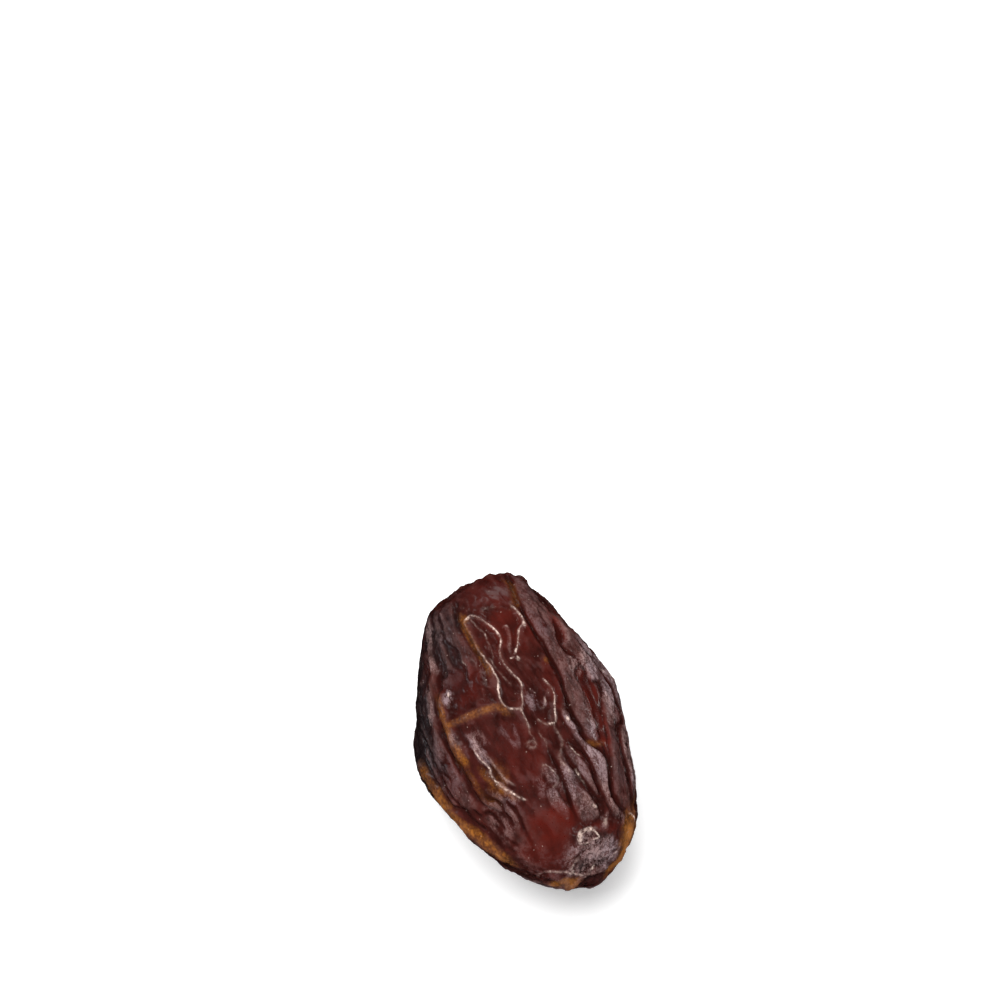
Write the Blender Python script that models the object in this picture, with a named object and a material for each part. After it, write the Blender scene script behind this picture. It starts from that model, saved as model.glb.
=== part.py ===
"""A medjool date, picked and dried, lying on its side: one solid of skin and flesh.

The long axis runs along X, with the pointed end at +X and the stem end at -X. The origin is the middle
of the underside of the date's box, on the surface that the date rests on, and +Z is up.
Lengths in this file are in millimetres until the mesh is written, and Blender's units are metres.
A bearing is an angle round the long axis: 0 on top, 90 on the +Y flank, -90 on the -Y flank, 180 beneath.
A place on the skin is a pair: its station along the long axis in millimetres, and its bearing in degrees.
"""
import math
from dataclasses import dataclass

import bmesh
import bpy
import numpy as np
from mathutils import noise

MM = 0.001

# Body: an egg-like form, pressed flatter by its neighbours in the box
HALF_LENGTH = 26.4
HALF_BREADTH = 14.2
RISE = 12.2
DROP = 11.9
CENTRE_HEIGHT = 11.0
ROUNDNESS = 2.0
# The body's centre lies this far from the middle of its box, along X and Y
CENTRE_X = 0.08
CENTRE_Y = 0.60

# Pressed areas: name, bearing of the flat, lean of its normal towards the pointed end, and its distance
# from the centre. The edge number says how crisply they meet: the higher, the crisper.
PRESSED = (
    ("top", 5, 4, 11.6),
    ("top, right", 42, 2, 12.8),
    ("top, left", -45, -6, 12.4),
    ("right flank", 84, 6, 13.0),
    ("right shoulder towards the stem", 68, -20, 13.95),
    ("right underside", 130, -8, 12.4),
    ("right of the point", 112, 40, 19.3),
    ("left flank", -87, -18, 13.8),
    ("left shoulder towards the stem", -24, -56, 20.2),
    ("left underside towards the stem", -128, -30, 13.0),
    ("left underside towards the point", -115, 21, 13.4),
    ("left of the point", -125, 48, 17.7),
    ("brow over the point", 25, 52, 20.5),
    ("under the point", -170, 52, 20.9),
    ("pointed end", 40, 84, 24.2),
    ("stem end", 20, -84, 26.1),
    ("stem end, right", 47, -64, 21.8),
)
PRESSED_EDGE = 18.0

# Resting spot: the flat part of the underside that no fold reaches
SPOT_X = 0.0
SPOT_Y = 0.0
SPOT_HALF_LENGTH = 6.5
SPOT_HALF_WIDTH = 3.6
SPOT_FADE = 3.0

# Stem scar at the stem end: a shallow crater with a raised, puckered rim
SCAR_LEAN = -80.0
SCAR_BEARING = 25.0
SCAR_RADIUS = 3.3
SCAR_DEPTH = 1.3
SCAR_WALL = 1.3
RIM_RADIUS = 4.3
RIM_WIDTH = 0.9
RIM_HEIGHT = 0.35
RIM_WANDER = 0.6
RIM_WANDER_LENGTH = 2.5
PUCKERS = 4.6
PUCKER_BEND = 0.12
PUCKER_HEIGHT = 0.45
PUCKER_END = 9.0

# Plates: long raised and sunken areas of skin where the folds are not placed one by one
PLATE_LENGTH = 9.5
PLATE_WIDTH = 2.6
PLATE_HEIGHT = 0.30
PLATE_EDGE = 3.2
CREASE_LENGTH = 7.6
CREASE_SPACING = 3.1
CREASE_DEPTH = 0.28
CREASE_WIDTH = 0.11
RIPPLE_LENGTH = 4.2
RIPPLE_WIDTH = 1.3
RIPPLE_HEIGHT = 0.10
RIPPLE_ON_TOP = 0.5
# They begin and are whole at these bearings, measured round a line on the left of the middle
PLATES_START = 66.0
PLATES_FULL = 92.0
PLATES_MIDDLE_Y = -2.0

# Where each kind of noise is read, so that no two repeat each other
PLATE_SHIFT = 3.7
CREASE_SHIFT = 11.3
RIPPLE_SHIFT = 23.9
RIM_SHIFT = 5.9
PUCKER_SHIFT = 31.1
WAVER_SHIFTS = (1.7, 8.3, 15.1)

# Waver: how far a fold strays from its smooth route, and over what length
WAVER = ((0.28, 3.1), (0.10, 1.1))

# Fineness of the work
ROUTE_STEP = 0.45
SEARCH_STEPS = 36
STEEPEST_LEAN = 89.9
SLOPE_NUDGE = 0.01
FOLD_REACH = 3.0
SKIN_SUBDIVISIONS = 7
SKIN_TRIANGLES = 9800
FLAT_SNAP = 0.03

SKIN_COLOUR = (0.105, 0.022, 0.014, 1.0)
SKIN_ROUGHNESS = 0.38


@dataclass(frozen=True)
class Fold:
    """A ridge (height above 0) or a crease (below 0) that follows a route over the skin."""

    name: str
    height: float
    left: float
    right: float
    sharpness: float
    route: tuple
    taper: float = 2.0


@dataclass(frozen=True)
class Swell:
    """A soft bulge (height above 0) or hollow (below 0): its place, its half length and half width."""

    name: str
    height: float
    station: float
    bearing: float
    half_length: float
    half_width: float


# Left is the side towards lower bearings when the route is followed towards the pointed end.
FOLDS = (
    Fold("long crease right of the top", -0.62, 0.55, 0.50, 1.5,
         ((-19, 21), (-14.7, 17), (-12.3, 14.5), (-9.4, 17.3), (-4.5, 21), (1, 25), (4.6, 25.5), (7.3, 28),
          (9.1, 32), (10.4, 40), (12, 43))),
    Fold("first plate, stem half", 0.30, 1.35, 1.35, 4.0,
         ((-18, 29), (-14, 25), (-10, 24), (-6, 26), (-3, 29))),
    Fold("first plate, middle", 0.28, 1.5, 1.5, 4.0,
         ((-3, 30), (0, 31), (4, 32), (8.2, 36))),
    Fold("step at the end of the first plate", -0.45, 0.5, 0.35, 2.0,
         ((9.4, 31), (9.2, 37), (9.0, 43)), 0.8),
    Fold("red hollow between the plates, stem half", -0.40, 0.8, 0.8, 2.6,
         ((-10, 32), (-7.5, 33.5), (-5, 33))),
    Fold("second plate", 0.42, 1.25, 1.25, 3.6,
         ((-11, 37), (-8, 43), (-4, 46), (-1, 51.5), (2, 53.5), (5, 49.8), (8, 48.3), (11, 47.5), (14, 50),
          (17.5, 56))),
    Fold("red hollow between the plates, middle", -0.42, 1.2, 1.2, 2.6,
         ((-1.5, 41), (1, 43), (4, 43.5), (6.5, 42.5), (9.5, 43))),
    Fold("crease between the plates, pointed half", -0.55, 0.40, 0.40, 1.5,
         ((8.5, 43), (11.2, 43), (13.6, 42), (15, 43.5), (16.6, 47), (18, 52))),
    Fold("third plate, beside the second", 0.32, 1.2, 1.2, 3.5,
         ((10, 37), (12, 38), (14, 38), (16, 41), (18.5, 52))),
    Fold("hollow right of the second plate", -0.40, 0.7, 0.7, 2.2,
         ((4.6, 60), (6.5, 53.5), (9, 53.5), (11.5, 56), (14.5, 61))),
    Fold("flank plate", 0.48, 1.1, 1.3, 3.0,
         ((-6, 59), (-2, 64), (2, 66), (5, 62), (8, 62), (11, 66), (14, 70))),
    Fold("shoulder ridge by the stem", 0.35, 0.9, 1.0, 2.0,
         ((-15, 45), (-11, 49), (-8, 56), (-4, 66), (0, 75))),
    Fold("hollow at the right shoulder", -0.45, 0.9, 0.9, 2.0,
         ((-16, 38), (-12.5, 40), (-9, 49), (-5.5, 55), (-2, 58))),
    Fold("lower crease one", -0.48, 0.45, 0.40, 1.5,
         ((8, 18), (10.3, 26.5), (12.4, 30.5), (14.7, 32), (16.8, 38))),
    Fold("lower crease two", -0.48, 0.45, 0.40, 1.5,
         ((10.6, 13), (12.8, 19.3), (14.9, 25.5), (16.7, 34.5), (17.6, 42))),
    Fold("ridge between the lower creases", 0.28, 0.8, 0.8, 2.5,
         ((10, 21), (12, 25), (14, 28), (16.2, 34.5))),
    Fold("lower crease three", -0.35, 0.45, 0.45, 1.6,
         ((8.5, 4), (11, 7), (13, 8.5), (15.3, 9.5), (17.6, 12))),
    Fold("ridge beside lower crease three", 0.20, 0.7, 0.7, 2.2,
         ((9, 11), (11.3, 12), (13.5, 15))),
    Fold("loop of loose skin, left run", 0.42, 0.50, 0.42, 1.7,
         ((-12.4, -22), (-8, -19.5), (-5.7, -17.5), (-2.7, -14.5), (0, -15), (1.8, -15), (3, -11.5),
          (3.4, -8), (3.3, -5.6))),
    Fold("loop of loose skin, right run", 0.38, 0.45, 0.45, 1.7,
         ((-12, -16), (-10.2, -10), (-8, -4.6), (-6.6, -3.6), (-5, -6), (-2.2, -3.5), (-0.4, -0.5),
          (1.5, -2.4), (3.3, -5.6), (5, -4.5), (6.8, -4), (8.2, -3.6))),
    Fold("hooked ridge near the stem", 0.40, 0.45, 0.50, 1.7,
         ((-12.5, 10), (-10.3, 13.5), (-9, 13.7), (-7.8, 9.5), (-5.5, 5.5), (-4.3, 2.6))),
    Fold("small loop on the top", 0.40, 0.42, 0.42, 1.7,
         ((-0.8, 13.5), (1, 16.5), (2.3, 17.2), (3.5, 15.3), (5.4, 13.6), (6, 10.5), (5.5, 7.5),
          (4.5, 3.4))),
    Fold("long ridge, left lower part", 0.42, 0.50, 0.42, 1.7,
         ((6.2, -38.5), (8.1, -36.5), (9.2, -34), (11, -34.5), (12.8, -29.5), (14.2, -23.5), (14.9, -19))),
    Fold("soft ridge beside it", 0.22, 0.7, 0.6, 2.0,
         ((4.2, -38), (6.4, -36), (9, -31), (11.2, -28.5), (13, -22))),
    Fold("cross ridge of the left side", 0.38, 0.9, 0.9, 2.0,
         ((1.2, -52), (1.9, -38), (2.2, -28), (2.5, -18), (3.4, -12))),
    Fold("left seam ridge", 0.40, 0.8, 0.9, 2.0,
         ((-6, -53), (-3, -53.5), (1, -52.5), (4, -50), (7.5, -47.5))),
    Fold("long crease of the left side", -0.55, 0.50, 0.50, 1.5,
         ((-1, -57), (2.6, -56), (5.3, -54), (8.7, -51), (11.7, -49.5), (13.3, -47.5), (15, -40),
          (17, -36.5))),
    Fold("left flank crease", -0.50, 0.6, 0.6, 1.6,
         ((-14.5, -51), (-11, -50.5), (-8, -50), (-5, -51.5), (-2, -57))),
    Fold("left flank ridge", 0.35, 0.9, 0.9, 2.0,
         ((-12, -58), (-8, -54.5), (-5, -58), (-2, -60), (2, -61), (6, -62))),
    Fold("left rim", 0.45, 1.0, 1.0, 2.2,
         ((1, -84), (5, -79), (9, -76), (12.5, -71), (15.3, -69), (17.8, -61), (20, -58))),
    Fold("crease above the left rim", -0.30, 0.7, 0.7, 1.8,
         ((-2, -74), (3, -70), (8, -66), (13, -61), (17, -52))),
    Fold("left shoulder crease", -0.42, 0.7, 0.6, 1.8,
         ((-17, -31), (-13.5, -29), (-10.5, -26), (-7.5, -24), (-4, -22.5), (-1.5, -22))),
    Fold("ridge left of the shoulder crease", 0.25, 0.8, 0.8, 2.4,
         ((-15, -37), (-11, -33), (-7.5, -29.5), (-3.8, -29))),
    Fold("small crease low on the left", -0.35, 0.45, 0.45, 1.6,
         ((12.6, -43), (14.2, -38), (15.6, -33), (17.5, -31), (19.5, -30))),
    Fold("small ridge low on the left", 0.25, 0.5, 0.5, 1.8,
         ((13, -47), (14.4, -43), (15.2, -37), (16.6, -34), (18.2, -34))),
    Fold("crease above the point", -0.38, 0.5, 0.5, 1.6,
         ((18.7, 14), (18.9, 24), (18.6, 34), (18.6, 46), (19, 60))),
    Fold("rim of the pointed end", 0.40, 0.6, 0.7, 1.8,
         ((22.2, -40), (22.9, -20), (23.05, 20), (22.9, 60), (22, 85)), 1.2),
    Fold("right rim of the point", 0.35, 0.7, 0.8, 2.0,
         ((15, 74), (17.5, 74), (19.2, 79), (20.8, 88), (21.6, 100))),
)

SWELLS = (
    Swell("hollow inside the loop", -0.30, -8.5, -11, 3.0, 1.6),
    Swell("hollow between the loop and the hook", -0.25, -8.5, 4, 3.0, 1.6),
    Swell("hollow above the cross ridge", -0.60, -3.5, -36, 4.4, 3.2),
    Swell("hollow below the cross ridge", -0.50, 8.0, -21, 4.5, 3.4),
    Swell("hollow at the end of the loop", -0.28, 1.0, -8, 2.4, 1.1),
    Swell("hollow inside the small loop", -0.25, 3.6, 10, 2.0, 1.2),
    Swell("smooth bulge over the point", 0.45, 18.3, -4, 2.0, 2.4),
    Swell("plate left of lower crease three", 0.25, 15.8, 1, 1.7, 1.8),
    Swell("plate right of lower crease three", 0.30, 16.6, 20, 2.2, 1.6),
    Swell("notch in the right shoulder", -1.9, -14.0, 60, 4.5, 3.2),
    Swell("dip in the right flank", -0.7, -5.2, 66, 3.0, 2.4),
    Swell("flat at the left shoulder", -0.5, -18.5, -45, 2.5, 2.5),
    Swell("dip at the left of the stem end", -0.7, -21.2, -30, 2.4, 3.0),
    Swell("fullness low on the left", 0.30, 6.5, -104, 3.6, 3.0),
    Swell("hollow of the pointed end", -0.40, 22.6, 60, 1.6, 2.2),
)


def rounded_step(low, high, value):
    """Return 0 below low, 1 above high, and an S-shaped rise between them."""
    part = np.clip((value - low) / (high - low), 0.0, 1.0)
    return part * part * (3.0 - 2.0 * part)


def heading(lean, bearing):
    """Return unit vectors that lean from the cross-section towards the pointed end, at a bearing."""
    tilt = np.radians(lean)
    turn = np.radians(bearing)
    across = np.cos(tilt)
    return np.stack([np.sin(tilt) + 0.0 * turn, across * np.sin(turn), across * np.cos(turn)], axis=-1)


def body_gauge(way):
    """Return how many times each vector from the centre reaches past the body's surface."""
    drop = np.where(way[:, 2] > 0, RISE, DROP)
    ring = (way[:, 1] / HALF_BREADTH) ** 2 + (way[:, 2] / drop) ** 2
    egg = (np.abs(way[:, 0] / HALF_LENGTH) ** ROUNDNESS + ring ** (ROUNDNESS / 2)) ** (1 / ROUNDNESS)
    total = egg ** PRESSED_EDGE
    for _, bearing, lean, distance in PRESSED:
        reach = way @ heading(lean, bearing) / distance
        total += np.maximum(reach, 0.0) ** PRESSED_EDGE
    return total ** (1 / PRESSED_EDGE)


def body_point(way):
    """Return the points, from the body's centre, where the given vectors leave the body."""
    return way / body_gauge(way)[:, None]


def body_normal(point):
    """Return the outward unit normals of the body at points on it."""
    nudges = SLOPE_NUDGE * np.eye(3)
    slope = np.stack([body_gauge(point + nudge) - body_gauge(point - nudge) for nudge in nudges], axis=1)
    return slope / np.linalg.norm(slope, axis=1)[:, None]


def place_on_body(station, bearing):
    """Return the points of the body at the given stations and bearings, found by halving the lean."""
    low = np.full(len(station), -STEEPEST_LEAN)
    high = np.full(len(station), STEEPEST_LEAN)
    for _ in range(SEARCH_STEPS):
        middle = (low + high) / 2
        short = body_point(heading(middle, bearing))[:, 0] < station
        low = np.where(short, middle, low)
        high = np.where(short, high, middle)
    return body_point(heading((low + high) / 2, bearing))


def smooth_route(corners):
    """Return stations and bearings along one smooth curve through a route's corners."""
    corners = np.array(corners, dtype=float)
    ends = np.vstack([2 * corners[0] - corners[1], corners, 2 * corners[-1] - corners[-2]])
    spans = []
    for before, start, end, after in zip(ends, ends[1:], ends[2:], ends[3:]):
        width = np.hypot(end[0] - start[0], math.radians(end[1] - start[1]) * HALF_BREADTH)
        steps = np.linspace(0, 1, max(2, int(width / ROUTE_STEP)), endpoint=False)[:, None]
        bend = 2 * before - 5 * start + 4 * end - after
        turn = 3 * start - 3 * end + after - before
        spans.append(start + 0.5 * steps * ((end - before) + steps * (bend + steps * turn)))
    spans.append(corners[-1:])
    return np.vstack(spans)


def noise_at(point, length, width, shift):
    """Return smooth noise that is stretched along the date, from about -1 to 1."""
    scaled = point / np.array([length, width, width]) + shift
    return np.array([noise.noise(row) for row in scaled])


def wavered(point):
    """Return the points moved a little, so that folds measured from them waver."""
    moved = point.copy()
    for far, length in WAVER:
        for axis, shift in enumerate(WAVER_SHIFTS):
            moved[:, axis] += far * noise_at(point, length, length, shift)
    return moved


def fold_height(fold, point, normal):
    """Return the height of a fold at each point of the body."""
    stations, bearings = smooth_route(fold.route).T
    route = place_on_body(stations, bearings)
    reach = FOLD_REACH * max(fold.left, fold.right)
    near = np.all((point > route.min(0) - reach) & (point < route.max(0) + reach), axis=1)
    place = point[near]
    runs = np.diff(route, axis=0)
    lengths = np.linalg.norm(runs, axis=1)
    before = np.concatenate([[0.0], np.cumsum(lengths)])
    nearest = np.full(len(place), np.inf)
    along = np.zeros(len(place))
    side = np.zeros(len(place))
    for index, run in enumerate(runs):
        offset = place - route[index]
        part = np.clip(offset @ run / lengths[index] ** 2, 0.0, 1.0)
        gap = np.linalg.norm(offset - part[:, None] * run, axis=1)
        closer = gap < nearest
        turn = np.einsum("ij,ij->i", np.cross(offset, run), normal[near])
        nearest = np.where(closer, gap, nearest)
        along = np.where(closer, before[index] + part * lengths[index], along)
        side = np.where(closer, turn, side)
    width = np.where(side > 0, fold.left, fold.right)
    ends = np.minimum(along, before[-1] - along)
    shape = np.exp(-((nearest / width) ** fold.sharpness)) * rounded_step(0.0, fold.taper, ends)
    height = np.zeros(len(point))
    height[near] = fold.height * shape
    return height


def swell_height(swell, point):
    """Return the height of a swell at each point of the body."""
    middle = place_on_body(np.array([swell.station]), np.array([swell.bearing]))[0]
    along = (point - middle)[:, 0] / swell.half_length
    across = np.linalg.norm((point - middle)[:, 1:], axis=1) / swell.half_width
    return swell.height * np.exp(-(along ** 2) - across ** 2)


def plate_height(point):
    """Return the height of the plates, creases and ripples of the sides without folds of their own."""
    bearing = np.abs(np.degrees(np.arctan2(point[:, 1] - PLATES_MIDDLE_Y, point[:, 2])))
    share = rounded_step(PLATES_START, PLATES_FULL, bearing)
    plate = noise_at(point, PLATE_LENGTH, PLATE_WIDTH, PLATE_SHIFT)
    crease = noise_at(point, CREASE_LENGTH, CREASE_SPACING, CREASE_SHIFT)
    ripple = RIPPLE_HEIGHT * noise_at(point, RIPPLE_LENGTH, RIPPLE_WIDTH, RIPPLE_SHIFT)
    height = PLATE_HEIGHT * np.tanh(PLATE_EDGE * plate)
    height -= CREASE_DEPTH * np.exp(-np.abs(crease) / CREASE_WIDTH)
    return share * height + np.maximum(share, RIPPLE_ON_TOP) * ripple


def scar_height(point):
    """Return the height of the stem scar: its crater, its rim and the puckers round it."""
    middle = body_point(heading(SCAR_LEAN, SCAR_BEARING)[None, :])[0]
    offset = point - middle
    radius = np.linalg.norm(offset, axis=1)
    turn = np.arctan2(offset[:, 1], offset[:, 2])
    wander = noise_at(point, RIM_WANDER_LENGTH, RIM_WANDER_LENGTH, RIM_SHIFT)
    crater = -SCAR_DEPTH * (1 - rounded_step(SCAR_RADIUS - SCAR_WALL, SCAR_RADIUS, radius))
    rim = RIM_HEIGHT * (1 + RIM_WANDER * wander) * np.exp(-(((radius - RIM_RADIUS) / RIM_WIDTH) ** 2))
    band = rounded_step(SCAR_RADIUS, RIM_RADIUS, radius) * (1 - rounded_step(RIM_RADIUS, PUCKER_END, radius))
    spokes = np.stack([PUCKER_BEND * radius, PUCKERS * np.sin(turn), PUCKERS * np.cos(turn)], axis=1)
    pucker = PUCKER_HEIGHT * band * noise_at(spokes, 1.0, 1.0, PUCKER_SHIFT)
    return crater + rim + pucker


def spot_share(point):
    """Return 0 on the resting spot, 1 away from it."""
    under = point[:, 2] < 0
    radius = np.hypot((point[:, 0] - SPOT_X) / SPOT_HALF_LENGTH, (point[:, 1] - SPOT_Y) / SPOT_HALF_WIDTH)
    away = rounded_step(1.0, 1.0 + SPOT_FADE / SPOT_HALF_WIDTH, radius)
    return np.where(under, away, 1.0)


def skin_point(way):
    """Return the points of the finished skin that lie in the given directions from the centre."""
    point = body_point(way)
    normal = body_normal(point)
    traced = wavered(point)
    height = plate_height(traced)
    height += scar_height(point)
    for fold in FOLDS:
        height += fold_height(fold, traced, normal)
    for swell in SWELLS:
        height += swell_height(swell, point)
    height *= spot_share(point)
    skin = point + height[:, None] * normal + np.array([CENTRE_X, CENTRE_Y, CENTRE_HEIGHT])
    skin[:, 2] = np.maximum(skin[:, 2], 0.0)
    return skin


def date_material():
    """Return the dark red-brown, half glossy skin."""
    material = bpy.data.materials.new("date_skin")
    material.use_nodes = True
    shader = material.node_tree.nodes["Principled BSDF"]
    shader.inputs["Base Color"].default_value = SKIN_COLOUR
    shader.inputs["Roughness"].default_value = SKIN_ROUGHNESS
    shader.inputs["Metallic"].default_value = 0.0
    material.diffuse_color = SKIN_COLOUR
    return material


def fine_skin_mesh():
    """Return a closed mesh of small even triangles, drawn out onto the finished skin."""
    shape = bmesh.new()
    bmesh.ops.create_icosphere(shape, subdivisions=SKIN_SUBDIVISIONS, radius=1.0)
    way = np.array([vertex.co for vertex in shape.verts])
    way = way * np.array([HALF_LENGTH, HALF_BREADTH, (RISE + DROP) / 2])
    for vertex, place in zip(shape.verts, skin_point(way)):
        vertex.co = place * MM
    mesh = bpy.data.meshes.new("date_fruit")
    shape.to_mesh(mesh)
    shape.free()
    return mesh


def thinned(fine):
    """Return the mesh with few triangles, small ones on the folds and large ones on the smooth skin."""
    guide = bpy.data.objects.new("date_guide", fine)
    bpy.context.scene.collection.objects.link(guide)
    decimate = guide.modifiers.new("Thin", "DECIMATE")
    decimate.ratio = SKIN_TRIANGLES / len(fine.polygons)
    seen = guide.evaluated_get(bpy.context.evaluated_depsgraph_get())
    mesh = bpy.data.meshes.new_from_object(seen)
    bpy.data.objects.remove(guide)
    for vertex in mesh.vertices:
        if vertex.co.z < FLAT_SNAP * MM:
            vertex.co.z = 0.0
    return mesh


def build_date():
    """Build the date as one object."""
    mesh = thinned(fine_skin_mesh())
    mesh.name = "date_fruit"
    mesh.shade_smooth()
    date = bpy.data.objects.new("date_fruit", mesh)
    date.data.materials.append(date_material())
    bpy.context.scene.collection.objects.link(date)


for old in list(bpy.data.objects):
    bpy.data.objects.remove(old)
build_date()
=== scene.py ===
"""The looks of a dried medjool date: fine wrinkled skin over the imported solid, a pale floor and soft light.

Lengths are in millimetres until a mesh is written. The date's long axis runs along X, with the pointed end
at +X. A place on the skin is a station along that axis and a bearing round it: 0 on top, 90 on the +Y flank,
-90 on the -Y flank and 180 beneath. Both are measured from the body's centre.
"""
import logging
import math
import random
from dataclasses import dataclass
from enum import Enum
from typing import Any, Optional, Union

import bmesh
import bpy
import numpy as np
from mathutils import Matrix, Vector, noise


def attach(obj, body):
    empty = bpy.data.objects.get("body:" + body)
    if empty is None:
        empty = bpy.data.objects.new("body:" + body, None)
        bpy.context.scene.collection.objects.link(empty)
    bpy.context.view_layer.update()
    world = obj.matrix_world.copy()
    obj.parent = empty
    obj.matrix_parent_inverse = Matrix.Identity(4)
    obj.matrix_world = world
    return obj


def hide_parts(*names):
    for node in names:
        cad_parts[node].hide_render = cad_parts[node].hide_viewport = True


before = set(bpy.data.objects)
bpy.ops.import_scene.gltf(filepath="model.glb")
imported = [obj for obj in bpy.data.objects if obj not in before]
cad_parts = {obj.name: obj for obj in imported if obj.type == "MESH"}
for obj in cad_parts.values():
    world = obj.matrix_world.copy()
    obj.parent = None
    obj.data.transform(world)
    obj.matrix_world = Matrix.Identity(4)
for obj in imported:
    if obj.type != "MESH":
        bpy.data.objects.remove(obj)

log = logging.getLogger("medjool_date")

MM = 0.001
NODE = "date_fruit"
BODY = "root"

# The middle of a shader's noise, and the sockets of a Mix node that mixes colours
NOISE_MIDDLE = 0.5
MIX_SHARE, MIX_FIRST, MIX_SECOND, MIX_RESULT = 0, 6, 7, 2


class Paint(Enum):
    """What the skin's finish reads from the mesh, by the name of its attribute."""

    RELIEF = "relief"
    BASIN = "basin"
    AMBER = "amber"
    BLOOM = "bloom"
    RED = "red"
    DARK_AND_SHADE = "dark_and_shade"
    GLOW = "glow"
    WIRE = "wire"
    CREASE = "crease"
    SCAR = "scar"


HAND_PAINTS = (Paint.AMBER, Paint.BLOOM, Paint.RED, Paint.DARK_AND_SHADE, Paint.GLOW, Paint.WIRE)


@dataclass(frozen=True)
class Pressed:
    """A flat pressed into the fruit: its bearing, its lean to the point, its distance from the centre."""

    name: str
    bearing: float
    lean: float
    distance: float


@dataclass(frozen=True)
class Fold:
    """A ridge (height above 0) or a crease (below 0) that follows a route over the skin."""

    name: str
    height: float
    left: float
    right: float
    sharpness: float
    route: tuple
    taper: float = 2.0


@dataclass(frozen=True)
class Wire:
    """A thin, beaded ridge of loose dry skin, pale partly in its own colour and partly with a painted
    highlight on its crest. A corner is a station, a bearing and a paleness.
    """

    name: str
    height: float
    half_width: float
    route: tuple


@dataclass(frozen=True)
class PlateEdge:
    """An edge of raised skin: its line of painted shade, half the width of its step, its crease's depth and
    width.
    """

    line: float = 0.6
    step: float = 0.08
    crease: float = 0.10
    crease_width: float = 0.15


class Edge(Enum):
    """The kinds of edge that a plate may have."""

    CRISP = PlateEdge()
    DARK = PlateEdge(line=0.9)
    SOFT = PlateEdge(0.35, 0.16, 0.08, 0.20)
    FAINT = PlateEdge(0.3, 0.16, 0.08, 0.20)


@dataclass(frozen=True)
class Plate:
    """A flat raised scale of skin: its height, the bloom and painted sheen on it, and its outline of stations
    and bearings.
    """

    name: str
    height: float
    bloom: float
    outline: tuple
    edge: Edge = Edge.CRISP


@dataclass(frozen=True)
class Ring:
    """A thin raised ring: its height, its place, its radius, its thickness and its paleness."""

    name: str
    height: float
    station: float
    bearing: float
    radius: float
    thickness: float
    paleness: float


@dataclass(frozen=True)
class Swell:
    """A soft bulge (height above 0) or hollow (below 0): its place, its half length and half width."""

    name: str
    height: float
    station: float
    bearing: float
    half_length: float
    half_width: float


@dataclass(frozen=True)
class Stripe:
    """A band of paint along a route: its strength, its half width and the route's corners."""

    strength: float
    half_width: float
    route: tuple


@dataclass(frozen=True)
class Patch:
    """A ragged spot of paint: its strength, place, half length, half width and turn from the long axis."""

    strength: float
    station: float
    bearing: float
    half_length: float
    half_width: float
    turn: float = 0.0


PRESSED = (
    Pressed("top", 5, 4, 11.6),
    Pressed("top, right", 42, 2, 12.8),
    Pressed("top, left", -45, -6, 12.4),
    Pressed("right flank", 84, 6, 13.0),
    Pressed("right shoulder towards the stem", 68, -20, 13.95),
    Pressed("right underside", 130, -8, 12.4),
    Pressed("right of the point", 112, 40, 19.3),
    Pressed("left flank", -87, -18, 13.8),
    Pressed("left shoulder towards the stem", -24, -56, 20.2),
    Pressed("left underside towards the stem", -128, -30, 13.0),
    Pressed("left underside towards the point", -115, 21, 13.4),
    Pressed("left of the point", -125, 48, 17.7),
    Pressed("brow over the point", 25, 52, 20.5),
    Pressed("under the point", -170, 52, 20.9),
    Pressed("pointed end", 40, 84, 24.2),
    Pressed("stem end", 20, -84, 26.1),
    Pressed("stem end, right", 47, -64, 21.8),
)

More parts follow.
